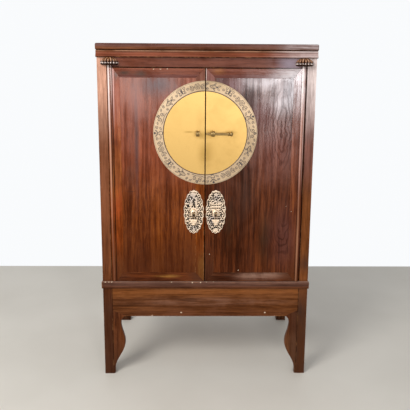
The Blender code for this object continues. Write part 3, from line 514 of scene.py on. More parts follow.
def oval(x, z, middle, half_width, half_height):
    across = np.hypot((x - middle[0]) / half_width, (z - middle[1]) / half_height)
    return (1 - across) * min(half_width, half_height)


def dot(x, z, middle, radius):
    return oval(x, z, middle, radius, radius)


def stroke(x, z, points, width):
    nearest = np.full(x.shape, 1e9)
    for (ax, az), (bx, bz) in zip(points, points[1:]):
        dx, dz = bx - ax, bz - az
        share = np.clip(((x - ax) * dx + (z - az) * dz) / max(dx * dx + dz * dz, 1e-12), 0, 1)
        nearest = np.minimum(nearest, np.hypot(x - ax - share * dx, z - az - share * dz))
    return width / 2 - nearest


def curl(x, z, middle, start_radius, end_radius, start_turn, turns, width, steps=26):
    """A line that winds inward."""
    points = []
    for step in range(steps + 1):
        share = step / steps
        radius = start_radius + (end_radius - start_radius) * share
        turn = start_turn + math.tau * turns * share
        points.append((middle[0] + radius * math.cos(turn), middle[1] + radius * math.sin(turn)))
    return stroke(x, z, points, width)


def rosette(x, z, middle, radius, petals, depth, turn=0.0):
    around = np.arctan2(z - middle[1], x - middle[0])
    out = np.hypot(x - middle[0], z - middle[1])
    return radius * (1 - depth + depth * np.abs(np.cos(petals * (around + turn) / 2))) - out


def leaf(x, z, start, end, half_width):
    dx, dz = end[0] - start[0], end[1] - start[1]
    length = math.hypot(dx, dz)
    along = ((x - start[0]) * dx + (z - start[1]) * dz) / length ** 2
    across = np.abs((x - start[0]) * dz - (z - start[1]) * dx) / length
    belly = half_width * np.clip(4 * along * (1 - along), -1, 1)
    return belly - across


def border(form, width):
    """A line along the inside of a form's edge."""
    return np.minimum(form, width - form)


def blade(x, z, start, end, half_width):
    """The border of a leaf, in millimetres."""
    return border(leaf(x, z, start, end, half_width), 1.9)


def union(*fields):
    return np.maximum.reduce(fields)


def level_front(depth):
    """A flat front without hollows."""
    return lambda x, z, f: (np.full(x.shape, depth), np.ones(x.shape))


def level_back(depth):
    return lambda x, z, f: np.full(x.shape, depth)


def pillow(f, width):
    """From 0 at a form's edge to 1 well inside it, on a round shoulder."""
    share = np.clip(f / width, 0, 1)
    return np.sqrt(1 - (1 - share) ** 2)


def field_mesh(field, reach, step, front, back):
    """Vertices, faces and relief of a closed piece that is solid where the field is positive."""
    xs = np.arange(-reach[0], reach[0] + step / 2, step)
    zs = np.arange(-reach[1], reach[1] + step / 2, step)
    value = field(*np.meshgrid(xs, zs, indexing="ij"))
    value[0, :] = value[-1, :] = -1e-6
    value[:, 0] = value[:, -1] = -1e-6
    index, flat = {}, []

    def corner(here):
        if here not in index:
            index[here] = len(flat)
            flat.append((xs[here[0]], zs[here[1]], value[here]))
        return index[here]

    def crossing(a, b):
        key = (min(a, b), max(a, b))
        if key not in index:
            low, high = key
            share = value[low] / (value[low] - value[high])
            share = min(max(share, 0.02), 0.98)
            x = xs[low[0]] + share * (xs[high[0]] - xs[low[0]])
            z = zs[low[1]] + share * (zs[high[1]] - zs[low[1]])
            index[key] = len(flat)
            flat.append((x, z, 0.0))
        return index[key]

    inside = value > 0
    busy = inside[:-1, :-1] | inside[1:, :-1] | inside[1:, 1:] | inside[:-1, 1:]
    polygons = []
    for i, j in zip(*np.nonzero(busy)):
        i, j = int(i), int(j)
        corners = ((i, j), (i + 1, j), (i + 1, j + 1), (i, j + 1))
        polygon = []
        for here, following in zip(corners, corners[1:] + corners[:1]):
            if inside[here]:
                polygon.append(corner(here))
            if inside[here] != inside[following]:
                polygon.append(crossing(here, following))
        polygons.append(polygon)
    count = len(flat)
    x, z, f = (np.array(column) for column in zip(*flat))
    front_y, relief = front(x, z, f)
    verts = [*zip(x, front_y, z), *zip(x, back(x, z, f), z)]
    faces = [*polygons, *([count + i for i in reversed(polygon)] for polygon in polygons)]
    open_edges = set()
    for polygon in polygons:
        for a, b in zip(polygon, polygon[1:] + polygon[:1]):
            if (b, a) in open_edges:
                open_edges.remove((b, a))
            else:
                open_edges.add((a, b))
    faces += [[a, count + a, count + b, b] for a, b in sorted(open_edges)]
    return verts, faces, [*relief, *([0.0] * count)]


# Woodwork

SOFT_EDGE = 0.0016
FLUSH_EDGE = 0.0005
DOOR_EDGE = 0.0004
UPPER_SHINE = (0.1, 0.13)
DOOR_LOOK = {"gloss": 0.21, "shine": (0.06, 0.6), "wear": 0.15}
BARE = {"gloss": 0.6, "lacquer": False}


def dress(node, grain, tones, width=SOFT_EDGE, **look):
    """A wooden piece of the part with eased edges and a figure of its own."""
    softened(node, wood("wood_" + node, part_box(node), grain, tones, **look), width)


def dress_door(node, grain, tones, **look):
    dress(node, grain, tones, DOOR_EDGE, **{**DOOR_LOOK, **look})


ORANGE_TINT = (0.31, 0.1, 0.024)
TAN_TINT = (0.78, 0.42, 0.29)
# A near-white painted reflection
ROSE_REFLECTION = (0.98, 0.84, 0.8)
PLUM_TINT = (0.27, 0.105, 0.08)
# Brighter reds painted on the upper left door for the light falling from above
UPPER_LIGHT_RED = (0.4, 0.085, 0.045)
UPPER_LIGHT_CRIMSON = (0.34, 0.072, 0.028)
OCHRE = (0.3, 0.135, 0.03)
# A lilac painted sheen
LILAC_SHEEN = (0.3, 0.2, 0.21)
# A pale lilac painted reflection
PALE_LILAC_REFLECTION = (0.64, 0.56, 0.58)
GREEN_BLACK = (0.022, 0.014, 0.006)
# A painted highlight
PAINTED_HIGHLIGHT = (0.9, 0.78, 0.74)

# Top board, cornice and frieze
CORNICE_LOW, TOP_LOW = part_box("cornice_front")[0].z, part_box("top_board")[0].z
# A mauve band over the upper part, painted shade along the lower edge under the rounded nose, and a dark
# line along the top
top_bands = [
    (Z, TOP_LOW + 0.013, TOP_LOW + 0.024, (0.135, 0.056, 0.048), 0.75),
    (Z, TOP_LOW + 0.006, TOP_LOW + 0.0025, DEEP_TINT, 1),
    (Z, 1.797, 1.7995, DEEP_TINT, 0.7),
]
# A painted window reflection at the right end of the top board, and painted shade along its lower edge
top_painted_reflection_and_shade = [
    ((0.56, 1.797), 0.24, (1, 2.2), (0.62, 0.53, 0.53), 0.95),
    ((0.4, TOP_LOW + 0.003), 0.0056, (0.008, 1), DEEP_TINT, 1),
]
# A red band toward the lower part, and painted shade along the lower edge
cornice_bands = [
    (Z, CORNICE_LOW + 0.03, CORNICE_LOW + 0.018, (0.26, 0.07, 0.035), 0.85),
    (Z, CORNICE_LOW + 0.0045, CORNICE_LOW + 0.0015, DEEP_TINT, 1),
]
# Painted highlights along the upper edge and a painted window reflection at the right end, then a dark line
# near the right end and painted shade along the lower edge
cornice_painted_light_and_shade = [
    ((0, TOP_LOW - 0.0035), 0.0045, (0, 1), (0.6, 0.32, 0.19), 0.9),
    ((0.5, TOP_LOW - 0.0035), 0.005, (0.02, 1), (0.9, 0.84, 0.82), 1),
    ((0.52, 1.748), 0.27, (1, 2), (0.72, 0.58, 0.56), 0.95),
    ((0.56, 1.745), 0.2, (1, 2), (0.58, 0.45, 0.43), 1),
    ((0.44, TOP_LOW - 0.01), 0.004, (0.012, 1), (0.085, 0.028, 0.024), 1),
    ((0, CORNICE_LOW + 0.001), 0.0056, (0, 1), DEEP_TINT, 1),
]
# A red tint, and painted shade along the lower edge, in the gap above the doors
frieze_bands = [(Z, 1.67, 1.675, (0.2, 0.052, 0.032), 0.5), (Z, 1.6855, 1.683, DEEP_TINT, 1)]
# A painted bluish reflection at the right end of the frieze
frieze_painted_reflection = [
    ((0.43, 1.71), 0.15, (1, 1), (0.31, 0.2, 0.21), 0.8),
    ((0.42, 1.705), 0.09, (1, 1.2), (0.27, 0.212, 0.25), 1),
]
dress("top_board", X, LACQUER, shine=UPPER_SHINE, tints=top_bands, patches=top_painted_reflection_and_shade)
dress("cornice_front", X, LACQUER, shine=UPPER_SHINE, wear=0.7, tints=cornice_bands, patches=cornice_painted_light_and_shade)
for side in SIDES:
    dress("cornice_" + side, Y, LACQUER)
dress("frieze_rail", X, LACQUER, shine=UPPER_SHINE, tints=frieze_bands, patches=frieze_painted_reflection)

# Sill, apron and legs
# A mauve painted sheen over the upper part, a painted highlight along the top edge and painted shade along
# the lower edge under the nose
sill_painted_light_and_shade = [
    (Z, 0.51, 0.528, (0.15, 0.075, 0.056), 0.65),
    (Z, 0.5425, 0.5452, (0.46, 0.28, 0.21), 0.8),
    (Z, 0.5125, 0.5085, DEEP_TINT, 0.9),
]
# A painted dark line, the shade of a groove, along the right part of the sill
sill_groove_shade = [((0.42, 0.5265), 0.0034, (0.0095, 1), (0.04, 0.015, 0.009), 1)]
sill_chips = [
    (-0.54, 0.545, 0.005),
    (-0.521, 0.5455, 0.0042),
    (-0.505, 0.545, 0.0052),
    (-0.184, 0.545, 0.004),
    (-0.072, 0.543, 0.0042),
    (-0.027, 0.543, 0.0042),
    (0.003, 0.5455, 0.0045),
    (0.042, 0.5455, 0.0036),
]
apron_top = [(Z, 0.445, 0.49, ORANGE_TINT, 0.5)]
apron_foot = [
    ((0, 0.357), 0.62, (0.9, 9), (0.115, 0.036, 0.014), 0.75),
    ((0, 0.425), 0.6, (0.9, 16), (0.215, 0.1, 0.062), 0.75),
]
apron_chips = [(-0.292, 0.346, 0.004), (-0.133, 0.362, 0.005), (0.327, 0.3615, 0.005)]
post_tints = {
    "left": [
        (Z, 0.55, 1.05, (0.24, 0.08, 0.033), 0.75),
        (Z, 1.24, 1.62, TAN_TINT, 0.9),
        (Z, 0.6, 0.36, DEEP_TINT, 0.75),
        # Painted shade on the inner face, in the gap by the pivot post
        (X, -0.5088, -0.5074, DEEP_TINT, 1),
    ],
    "right": [
        (Z, 1.25, 0.95, ORANGE_TINT, 0.5),
        (Z, 0.98, 1.25, PLUM_TINT, 0.7),
        # A painted window reflection on the upper part of the post
        (Z, 1.27, 1.62, ROSE_REFLECTION, 0.95),
        (Z, 0.6, 0.36, (0.024, 0.01, 0.007), 0.9),
        # Painted shade on the inner face, in the gap by the pivot post
        (X, 0.5108, 0.5086, DEEP_TINT, 1),
    ],
}
post_patches = {
    "left": [],
    "right": [((0.533, 0.645), 0.075, (1.4, 0.9), (0.045, 0.02, 0.014), (0.5, 0.85))],
}
wing_tints = {
    "left": [(Z, 0.24, 0.04, DEEP_TINT, 0.6)],
    "right": [(Z, 0.3, 0.18, (0.175, 0.075, 0.033), 0.6), (X, 0.455, 0.485, (0.045, 0.018, 0.01), 0.6)],
}
dress("sill", X, LACQUER, wear=0.8, tints=sill_painted_light_and_shade, patches=sill_groove_shade, chips=sill_chips)
for side in SIDES:
    dress("base_moulding_" + side, Y, DARK)
dress("front_apron", X, ORANGE, FLUSH_EDGE, tints=apron_top, patches=apron_foot, chips=apron_chips)
for side in SIDES:
    dress("front_post_" + side, Z, LACQUER, FLUSH_EDGE, tints=post_tints[side], patches=post_patches[side])
for side in SIDES:
    dress("rear_post_" + side, Z, DARK)
for side in SIDES:
    dress("leg_wing_" + side, Z, LACQUER, FLUSH_EDGE, wear=0.15, tints=wing_tints[side])

# Back, inside and sides
for node in ("back_top_rail", "back_bottom_rail", "rear_apron"):
    dress(node, X, DARK)
dress("back_panel", Z, DARK, gloss=0.5)
for node in ("cupboard_floor", "shelf"):
    dress(node, X, RAW, **BARE)
for side in SIDES:
    for node in ("side_top_rail_", "side_bottom_rail_", "side_apron_"):
        dress(node + side, Y, LACQUER)
    dress("side_panel_" + side, Z, LACQUER)
    dress("shelf_batten_" + side, Y, RAW, **BARE)

# Doors
MEETING_SHINE = (0.06, 0.22)
# Painted shade in the gap between the door tops and the frieze
head_gap_shade = (Z, 1.6765, 1.679, DEEP_TINT, 1)
head_reds = [
    (Z, 1.61, 1.62, (0.185, 0.05, 0.032), 0.6),
    (Z, 1.652, 1.64, (0.085, 0.03, 0.032), 0.6),
    head_gap_shade,
]
foot_shade = (Z, 0.84, 0.58, DEEP_TINT, 0.65)
# Painted shade at the corners of the bottom rails, where less light reaches
rail_end_shade = [((x, 0.58), 0.1, (1, 1), (0.085, 0.028, 0.012), 0.85) for x in (-0.46, -0.03, 0.02, 0.47)]
# Left hinge stile: a red strip and a dark blot in the wood, then painted highlights along the pivot post
# and the stile's edge, with painted shade lines beside them
left_reed_painted_light_and_tones = [
    ((-0.46, 0.9), 0.25, (3, 1), (0.36, 0.06, 0.01), 0.8),
    ((-0.462, 1.64), 0.05, (1, 0.8), GREEN_BLACK, 0.8),
    ((-0.495, 1.28), 0.007, (1, 0.0098), (0.5, 0.25, 0.16), 1),
    ((-0.4975, 1.62), 0.0072, (1, 0.018), PAINTED_HIGHLIGHT, 1),
    ((-0.487, 1.3), 0.0046, (1, 0.005), DEEP_TINT, 1),
    ((-0.4785, 1.1), 0.0062, (1, 0.003), DEEP_TINT, 1),
    ((-0.4842, 1.64), 0.0034, (1, 0.017), (0.78, 0.56, 0.5), 1),
    ((-0.4735, 1.6), 0.0065, (1, 0.022), (0.66, 0.36, 0.31), 1),
    ((-0.491, 0.66), 0.006, (1, 0.016), (0.2, 0.07, 0.034), 1),
]
# A darker purple-brown patch low on the right door
low_purple_patch = ((0.425, 0.8), 0.25, (1.7, 0.9), (0.1, 0.036, 0.03), (0.45, 0.7))
# Right hinge stile: a painted window reflection at the top, a darker purple patch, painted highlights along
# the pivot post and painted shade at its outer edge
right_reed_painted_light_and_tone = [
    ((0.47, 1.6), 0.16, (1, 0.8), PALE_LILAC_REFLECTION, 0.85),
    low_purple_patch,
    ((0.486, 1.6), 0.007, (1, 0.022), PAINTED_HIGHLIGHT, 1),
    ((0.486, 1.3), 0.0075, (1, 0.018), (0.54, 0.29, 0.23), 1),
    ((0.4875, 0.74), 0.0078, (1, 0.018), (0.33, 0.15, 0.08), 1),
    ((0.496, 1.45), 0.003, (1, 0.006), (0.72, 0.5, 0.44), 1),
    ((0.5035, 1.2), 0.0056, (1, 0.006), DEEP_TINT, 1),
]
left_rail_blots = [
    ((-0.42, 1.655), 0.045, (0.8, 2), GREEN_BLACK, 0.9),
    ((-0.33, 1.65), 0.05, (0.7, 2), GREEN_BLACK, 0.7),
]
# A painted window reflection at the right end of the top rail, and a red patch near the meeting stile
right_rail_reflection_and_tone = [
    ((0.47, 1.655), 0.19, (1, 1), (0.72, 0.68, 0.7), (0.5, 0.9)),
    ((0.06, 1.662), 0.05, (1, 2), (0.34, 0.13, 0.035), (0.3, 0.7)),
]
# Dark streaks and patches in the wood of the left panel, and a lilac painted sheen on its upper part
left_painted_sheen_and_tones = [
    ((-0.36, 1.25), 0.45, (25, 1), (0.055, 0.022, 0.022), (0.45, 0.75)),
    ((-0.395, 1.042), 0.036, (1, 14), DEEP_TINT, (0.5, 0.8)),
    ((-0.335, 0.876), 0.028, (1, 12), DEEP_TINT, (0.3, 0.6)),
    ((-0.392, 1.12), 0.1, (2.4, 1), (0.075, 0.024, 0.012), (0.3, 0.55)),
    ((-0.36, 1.52), 0.16, (2.6, 0.9), LILAC_SHEEN, 0.2),
    ((-0.25, 1.6), 0.15, (1, 1.5), (0.06, 0.022, 0.025), 0.9),
]
# Right door panel: the pale lilac and grey patches are a painted window reflection, the dark and plum ones
# darken the wood
window_reflection_and_tones = [
    ((0.125, 0.86), 0.17, (3.2, 0.8), GREEN_BLACK, 0.7),
    ((0.312, 0.78), 0.17, (3.2, 0.8), GREEN_BLACK, 0.7),
    ((0.31, 1.61), 0.12, (0.55, 1.6), PALE_LILAC_REFLECTION, (0.3, 0.6)),
    ((0.375, 1.5), 0.09, (1.15, 0.9), PALE_LILAC_REFLECTION, (0.4, 0.68)),
    ((0.43, 1.57), 0.12, (1.6, 0.8), (0.46, 0.42, 0.45), (0.4, 0.65)),
    ((0.245, 1.5), 0.08, (1.2, 0.7), (0.06, 0.018, 0.014), (0.5, 0.8)),
    ((0.36, 1.28), 0.24, (1.3, 0.8), (0.225, 0.076, 0.056), (0.4, 0.6)),
    ((0.29, 1.455), 0.13, (1.7, 1.1), (0.12, 0.024, 0.014), (0.7, 0.9)),
    ((0.12, 1.6), 0.12, (1, 1.5), (0.15, 0.046, 0.048), (0.5, 0.8)),
    low_purple_patch,
    ((0.2, 0.98), 0.2, (2.4, 0.7), (0.05, 0.017, 0.008), (0.3, 0.5)),
]
dress_door(
    "left_door_hinge_stile",
    Z,
    RED_DOOR,
    # The upper stile is painted a brighter red for the light from above
    tints=[(Z, 1.15, 1.6, UPPER_LIGHT_RED, 0.5), foot_shade, head_gap_shade],
    patches=left_reed_painted_light_and_tones,
)
dress_door(
    "left_door_meeting_stile",
    Z,
    RED_DOOR,
    shine=MEETING_SHINE,
    wear=0.5,
    tints=[foot_shade, (Z, 1.48, 1.62, (0.135, 0.042, 0.03), 0.6)],
    patches=[((-0.02, 0.62), 0.1, (3, 0.8), OCHRE, 0.45)],
)
dress_door(
    "left_door_top_rail",
    X,
    RED_DOOR,
    shine=(0.1, 0.16),
    tints=head_reds,
    patches=left_rail_blots,
    chips=[(x, 1.674, 0.0034) for x in (-0.27, -0.235, -0.2)],
)
dress_door(
    "left_door_bottom_rail",
    X,
    DARK_DOOR,
    patches=[((-0.21, 0.577), 0.1, (1, 7), OCHRE, 0.9), *rail_end_shade],
)
dress_door(
    "left_door_panel",
    Z,
    RED_DOOR,
    depth=PANEL_DEPTH,
    # Darker toward the bottom, and painted a brighter red higher up for the light from above
    tints=[(Z, 0.98, 0.6, DEEP_TINT, 0.62), (Z, 0.95, 1.3, UPPER_LIGHT_CRIMSON, 0.55)],
    patches=left_painted_sheen_and_tones,
)
dress_door(
    "right_door_hinge_stile",
    Z,
    RED_DOOR,
    tints=[(Z, 0.95, 1.3, (0.3, 0.1, 0.062), 0.6), foot_shade, head_gap_shade],
    patches=right_reed_painted_light_and_tone,
    chips=[(0.449, 0.938, 0.0026)],
)
dress_door(
    "right_door_meeting_stile",
    Z,
    DARK_DOOR,
    shine=MEETING_SHINE,
    tints=[foot_shade, (Z, 1.5, 1.62, (0.26, 0.09, 0.072), 0.7)],
    # A painted highlight along the left edge of the stile
    patches=[((-0.0045, 1.645), 0.0052, (1, 0.07), (0.72, 0.55, 0.49), 1)],
    chips=[(0.02, 0.7, 0.003), (0.05, 0.7, 0.003)],
)
dress_door("right_door_top_rail", X, RED_DOOR, shine=(0.1, 0.2), tints=head_reds, patches=right_rail_reflection_and_tone)
dress_door(
    "right_door_bottom_rail",
    X,
    DARK_DOOR,
    patches=[((0.28, 0.586), 0.22, (1, 5), (0.31, 0.18, 0.13), 0.9), *rail_end_shade],
)
dress_door(
    "right_door_panel",
    Z,
    DARK_DOOR,
    depth=PANEL_DEPTH,
    patches=window_reflection_and_tones,
    chips=[(0.421, 0.965, 0.0026), (0.175, 0.612, 0.0034)],
    flames=[((0.385, 1.37), 0.016, 0.2, 0.17, 0.0), ((0.412, 0.93), 0.014, 0.11, 0.3, 0.14)],
)


# Carved caps over the door posts

CAP_STEPS = CAP_LOBES * 10
OUTER_CUT = 0.2
UPPER_CUT = 0.14
BEAD_RADIUS = 0.0058
BEAD_RISE = 0.0016
CAP_GAP = 0.0003

# Radius and height of the dome, as shares, from its foot to its top
cap_profile = [
    (0.0, -1.0), (0.7, -1.0), (0.88, -0.78), (0.97, -0.4), (1.0, -0.05),
    (0.98, 0.2), (0.88, 0.52), (0.68, 0.8), (0.4, 0.96), (0.0, 1.0),
]


def cap_form():
    """Vertices, faces and relief of a lotus dome with two tiers of petals."""
    verts, relief, rings = [], [], []
    for radius, height in rounded_profile(cap_profile, 4):
        rise = CAP_RISE if height > 0 else CAP_DROP
        count = CAP_STEPS if radius > 1e-6 else 1
        rings.append(next_ring(verts, count))
        low_share = min(max((radius - 0.45) / 0.4, 0), 1)
        high_share = (1 - low_share) * min(radius / 0.2, 1)
        for step in range(count):
            turn = math.tau * step / CAP_STEPS
            outer = 1 - abs(math.cos(CAP_LOBES * turn / 2))
            upper = 1 - abs(math.sin(CAP_LOBES * turn / 4))
            cut = OUTER_CUT * outer * low_share + UPPER_CUT * upper * high_share
            reach = CAP_RADIUS * radius * (1 - cut)
            verts.append((reach * math.cos(turn), reach * math.sin(turn), height * rise))
            ridge = (1 - cut / OUTER_CUT) * min(max(2.2 * height - 0.1, 0), 1)
            relief.append(ridge if count > 1 else 0.0)
    return verts, skin(rings), relief


def carved_painted_light(name):
    """Dark lacquer with painted shade in the hollows, gold-brown wood with a painted highlight on the
    ridges.
    """
    g = new_material(name)
    relief = g.relief()
    cloud = g.noise(g.place, 70.0, 4.0, 0.6)
    # Painted light from the relief: dark in the hollows, pale on the ridges, broken by noise
    worn = g.plus(g.math("SUBTRACT", relief, 0.3), cloud, 0.6)
    stops = [
        (0.25, DEEP_TINT),
        (0.58, (0.13, 0.046, 0.015)),
        (0.82, (0.31, 0.125, 0.042)),
        (1.0, (0.56, 0.33, 0.21)),
    ]
    inputs = {
        "Base Color": g.ramp(worn, stops),
        "Roughness": g.plus(0.16, cloud, 0.16),
        "Specular IOR Level": g.span(relief, 0.0, 0.7, 0.12, 0.5),
        "Normal": g.bump(cloud, 0.15, 0.0006),
    }
    return g.surface(inputs)


def bead(radius, place, bands=8):
    turns = [math.pi * band / bands for band in range(bands + 1)]
    return lathe([(radius * math.sin(turn), -radius * math.cos(turn)) for turn in turns], 14, place)


def half_cut(obj, plane_y):
    """Cuts a piece off behind a plane and closes the cut."""
    shape = bmesh.new()
    shape.from_mesh(obj.data)
    everything = shape.verts[:] + shape.edges[:] + shape.faces[:]
    cut = bmesh.ops.bisect_plane(
        shape, geom=everything, plane_co=(0, plane_y, 0), plane_no=(0, 1, 0), clear_outer=True
    )
    edges = [e for e in cut["geom_cut"] if isinstance(e, bmesh.types.BMEdge)]
    bmesh.ops.holes_fill(shape, edges=[e for e in edges if e.is_boundary])
    bmesh.ops.recalc_face_normals(shape, faces=shape.faces)
    shape.to_mesh(obj.data)
    shape.free()


bead_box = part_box("pivot_cap_left")
# The beads are painted near white, a painted highlight on each
bead_finish = wood("cap_beads", bead_box, Z, BEAD_HIGHLIGHT, gloss=0.17, shine=(0.5, 0.9), wear=0.0)
for side, sign in SIDES.items():
    node = "pivot_cap_" + side
    middle = Vector((sign * AXIS_X, FRONT_Y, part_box(node)[0].z + CAP_DROP))
    cap = relief_object("carved_cap_" + side, cap_form(), carved_painted_light("carved_" + side), middle, 60)
    beads = []
    for lobe in range(CAP_LOBES // 2 + 1):
        turn = math.tau * lobe / CAP_LOBES
        ring = Vector((math.cos(turn), -math.sin(turn), 0)) * (CAP_RADIUS * 0.87)
        beads.append(bead(BEAD_RADIUS, middle + ring + Vector((0, 0, BEAD_RISE))))
    row = joined("cap_beads_" + side, beads, bead_finish, 60)
    for piece in (cap, row):
        half_cut(piece, FRONT_Y - CAP_GAP)
    keep(cap, "carcass", "carved_wood", node)
    keep(row, "carcass", "carved_wood")


# Brass

GOLD = (0.622, 0.392, 0.13)
PALE = (0.53, 0.388, 0.25)
PLATE = (0.79, 0.62, 0.46)
FITTING = (0.78, 0.62, 0.46)
TARNISH = (0.33, 0.19, 0.045)
BROWNED = (0.3, 0.21, 0.12)
GREY_STAIN = (0.36, 0.33, 0.345)
disc_smudges = [
    ((-0.091, 1.357), 0.04, (1, 5), 0.75),
    ((0.118, 1.356), 0.05, (1, 3.4), 0.75),
    ((-0.005, 1.345), 0.085, (1, 2.2), 0.85),
    ((-0.005, 1.24), 0.13, (2.4, 1), 0.65),
    ((-0.03, 1.42), 0.09, (2.4, 1), 0.35),
    ((0.11, 1.25), 0.17, (1, 1), 0.3),
]
ring_smudges = [
    ((0.03, 1.62), 0.28, (1, 1.5), 1.0),
    ((0.22, 1.3), 0.3, (1, 1), 0.6),
    ((0.02, 1.04), 0.16, (1, 1), 0.5),
]
plate_smudges = [
    ((-0.08, 1.005), 0.05, (1, 1), 0.8),
    ((-0.065, 0.85), 0.04, (1, 1), 0.5),
    ((0.04, 0.89), 0.055, (1, 1), 0.8),
    ((0.055, 1.01), 0.04, (1, 1), 0.5),
]
disc_brass = brass("satin_disc", GOLD, TARNISH, 0.4, 0.35, smudges=disc_smudges)
ring_brass = brass("engraved_ring", PALE, BROWNED, 0.44, 0.6, smudges=ring_smudges)
etched = brass("etched_lines", (0.085, 0.075, 0.074), (0.038, 0.031, 0.027), 0.62, 0.8)
plate_brass = brass("pierced_plate", PLATE, (0.14, 0.11, 0.08), 0.38, 0.5, True, plate_smudges, GREY_STAIN)
ground_brass = brass("dark_ground", (0.036, 0.031, 0.027), (0.014, 0.011, 0.008), 0.6, 0.6)
fitting_brass = brass("worn_fitting", FITTING, BROWNED, 0.44, 0.5)
loop_brass = brass("lock_loops", (0.36, 0.245, 0.1), (0.08, 0.05, 0.022), 0.36, 0.7)
dark_brass = brass("dark_lock", (0.3, 0.2, 0.08), (0.06, 0.038, 0.017), 0.36, 0.7)


# Medallion

BAND_MIDDLE = (MEDALLION_RADIUS + DISC_RADIUS) / 2
TILES = 9
TILE_STEP = 0.0009
TILE_REACH = (0.0415, 0.0245)
MOTIF_LENGTH = 1.26 * MM
MOTIF_HEIGHT = 1.28 * MM
LINE_FRONT = -0.00014
LINE_BACK = 0.0003
LINE_CORNERS = ((-0.5, LINE_FRONT), (0.5, LINE_FRONT), (0.5, LINE_BACK), (-0.5, LINE_BACK))
LINE_MARGIN = math.radians(1.2)
RING_LINES = ((DISC_RADIUS + 0.003, 0.003), (MEDALLION_RADIUS - 0.004, 0.0009))
DISC_EDGE = 0.0005
RING_EDGE = 0.0007


# Parts of each motif, in millimetres

def peony(x, z):
    yield border(rosette(x, z, (0, 1), 12.5, 6, 0.22), 2.2)
    yield border(rosette(x, z, (0, 1), 6.8, 5, 0.25, 0.5), 1.8)
    yield dot(x, z, (0, 1), 2.2)
    for sign in (-1, 1):
        yield blade(x, z, (sign * 13, -2), (sign * 29, 9), 4.2)
        yield blade(x, z, (sign * 13, -4), (sign * 28, -12), 3.6)
        yield curl(x, z, (sign * 30, -2), 5.2, 1, 1.2, sign * 1.2, 1.6)


def cloud(x, z):
    yield stroke(x, z, [(-28, -10), (-12, -13), (6, -11), (26, -14)], 2.2)
    yield curl(x, z, (-13, 3), 9.5, 1.2, 3.9, 1.4, 2.3)
    yield curl(x, z, (12, 1), 8.5, 1.2, -0.7, -1.4, 2.3)
    yield curl(x, z, (0, 11), 6, 1.2, 1.6, 1.4, 2.3)
    yield blade(x, z, (18, 8), (31, 14), 3)
    yield blade(x, z, (-22, 10), (-33, 4), 3)


def butterfly(x, z):
    yield leaf(x, z, (0, -12), (0, 13), 2.6)
    for sign in (-1, 1):
        for tip_x, tip_z, width in ((19, 13, 6.8), (16, -11, 5.6)):
            yield border(leaf(x, z, (sign, 1), (sign * tip_x, tip_z), width), 2.1)
            yield dot(x, z, (sign * 0.62 * tip_x, 0.62 * tip_z), 2.1)
        yield stroke(x, z, [(sign, 12), (sign * 5, 18), (sign * 9, 18)], 1.4)
        yield curl(x, z, (sign * 26, 0), 5.8, 1.2, 0.4, sign * 1.3, 1.8)


def fish(x, z):
    body = leaf(x, z, (-18, 0), (14, 0), 7.8)
    yield border(body, 2.2)
    yield dot(x, z, (-12.2, 1.2), 1.7)
    for place in (-7, -2, 3, 8):
        yield np.minimum(body, stroke(x, z, [(place, -6), (place + 1.6, 0), (place, 6)], 1.5))
    for sign in (-1, 1):
        yield blade(x, z, (12, 0), (27, sign * 10), 3.6)
        yield blade(x, z, (-2, sign * 6), (8, sign * 15), 3)
        yield curl(x, z, (-26, sign * 8.5), 5.5, 1.2, 0.3, sign * 1.3, 1.9)


def vase(x, z):
    yield rosette(x, z, (0, 14.5), 4.8, 5, 0.25)
    yield stroke(x, z, [(0, 2), (0, 12)], 1.6)
    for half_length, height, width in ((4.5, 2.5, 2), (6, -16, 2.2), (8, -6, 1.6)):
        yield stroke(x, z, [(-half_length, height), (half_length, height)], width)
    for sign in (-1, 1):
        flank = [(3.5, 2), (3, -1), (8.5, -6), (8, -11), (4.8, -16)]
        yield stroke(x, z, [(sign * px, pz) for px, pz in flank], 2)
        yield blade(x, z, (sign * 2, 3), (sign * 14, 13), 2.6)
        yield blade(x, z, (sign * 12, -12), (sign * 27, -4), 3.6)
        yield curl(x, z, (sign * 23, 7), 6.2, 1.2, 0.8, sign * 1.4, 1.9)


def motif_tile(motif):
    """Vertices and faces of one flat motif, drawn out to the size of its tile."""
    def field(x, z):
        return MOTIF_HEIGHT * union(*motif(x / MOTIF_LENGTH, z / MOTIF_HEIGHT))

    return field_mesh(field, TILE_REACH, TILE_STEP, level_front(LINE_FRONT), level_back(LINE_BACK))[:2]


def on_ring(turn, radius, y):
    """A point of the medallion."""
    return MEETING_X + radius * math.cos(turn), y, MEDALLION_Z + radius * math.sin(turn)


def ring_line(radius, width, start, end, front, steps=60):
    """A thin raised line along part of a circle."""
    sections = []
    for step in range(steps + 1):
        turn = start + (end - start) * step / steps
        sections.append([on_ring(turn, radius + side * width, front + y) for side, y in LINE_CORNERS])
    return bar(sections)


tiles = [motif_tile(motif) for motif in (peony, cloud, butterfly, vase, fish)]
for side, sign in SIDES.items():
    softened(side + "_medallion_disc", disc_brass, DISC_EDGE)
    softened(side + "_medallion_ring", ring_brass, RING_EDGE)
    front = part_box(side + "_medallion_ring")[0].y
    first = -sign * math.pi / 2
    engraving = []
    for tile in range(TILES):
        bearing = first + math.pi * (tile + 0.5) / TILES
        verts, faces = tiles[(tile * 2 + 3 * (sign > 0)) % len(tiles)]
        bent = [on_ring(bearing - u / BAND_MIDDLE, BAND_MIDDLE + w, front + y) for u, y, w in verts]
        engraving.append((bent, faces))
    start, end = first + LINE_MARGIN, first + math.pi - LINE_MARGIN
    engraving += [ring_line(radius, width, start, end, front) for radius, width in RING_LINES]
    keep(joined(side + "_ring_engraving", engraving, etched, 30), side + "_door", "pale_brass")


# Nails that hold the brass

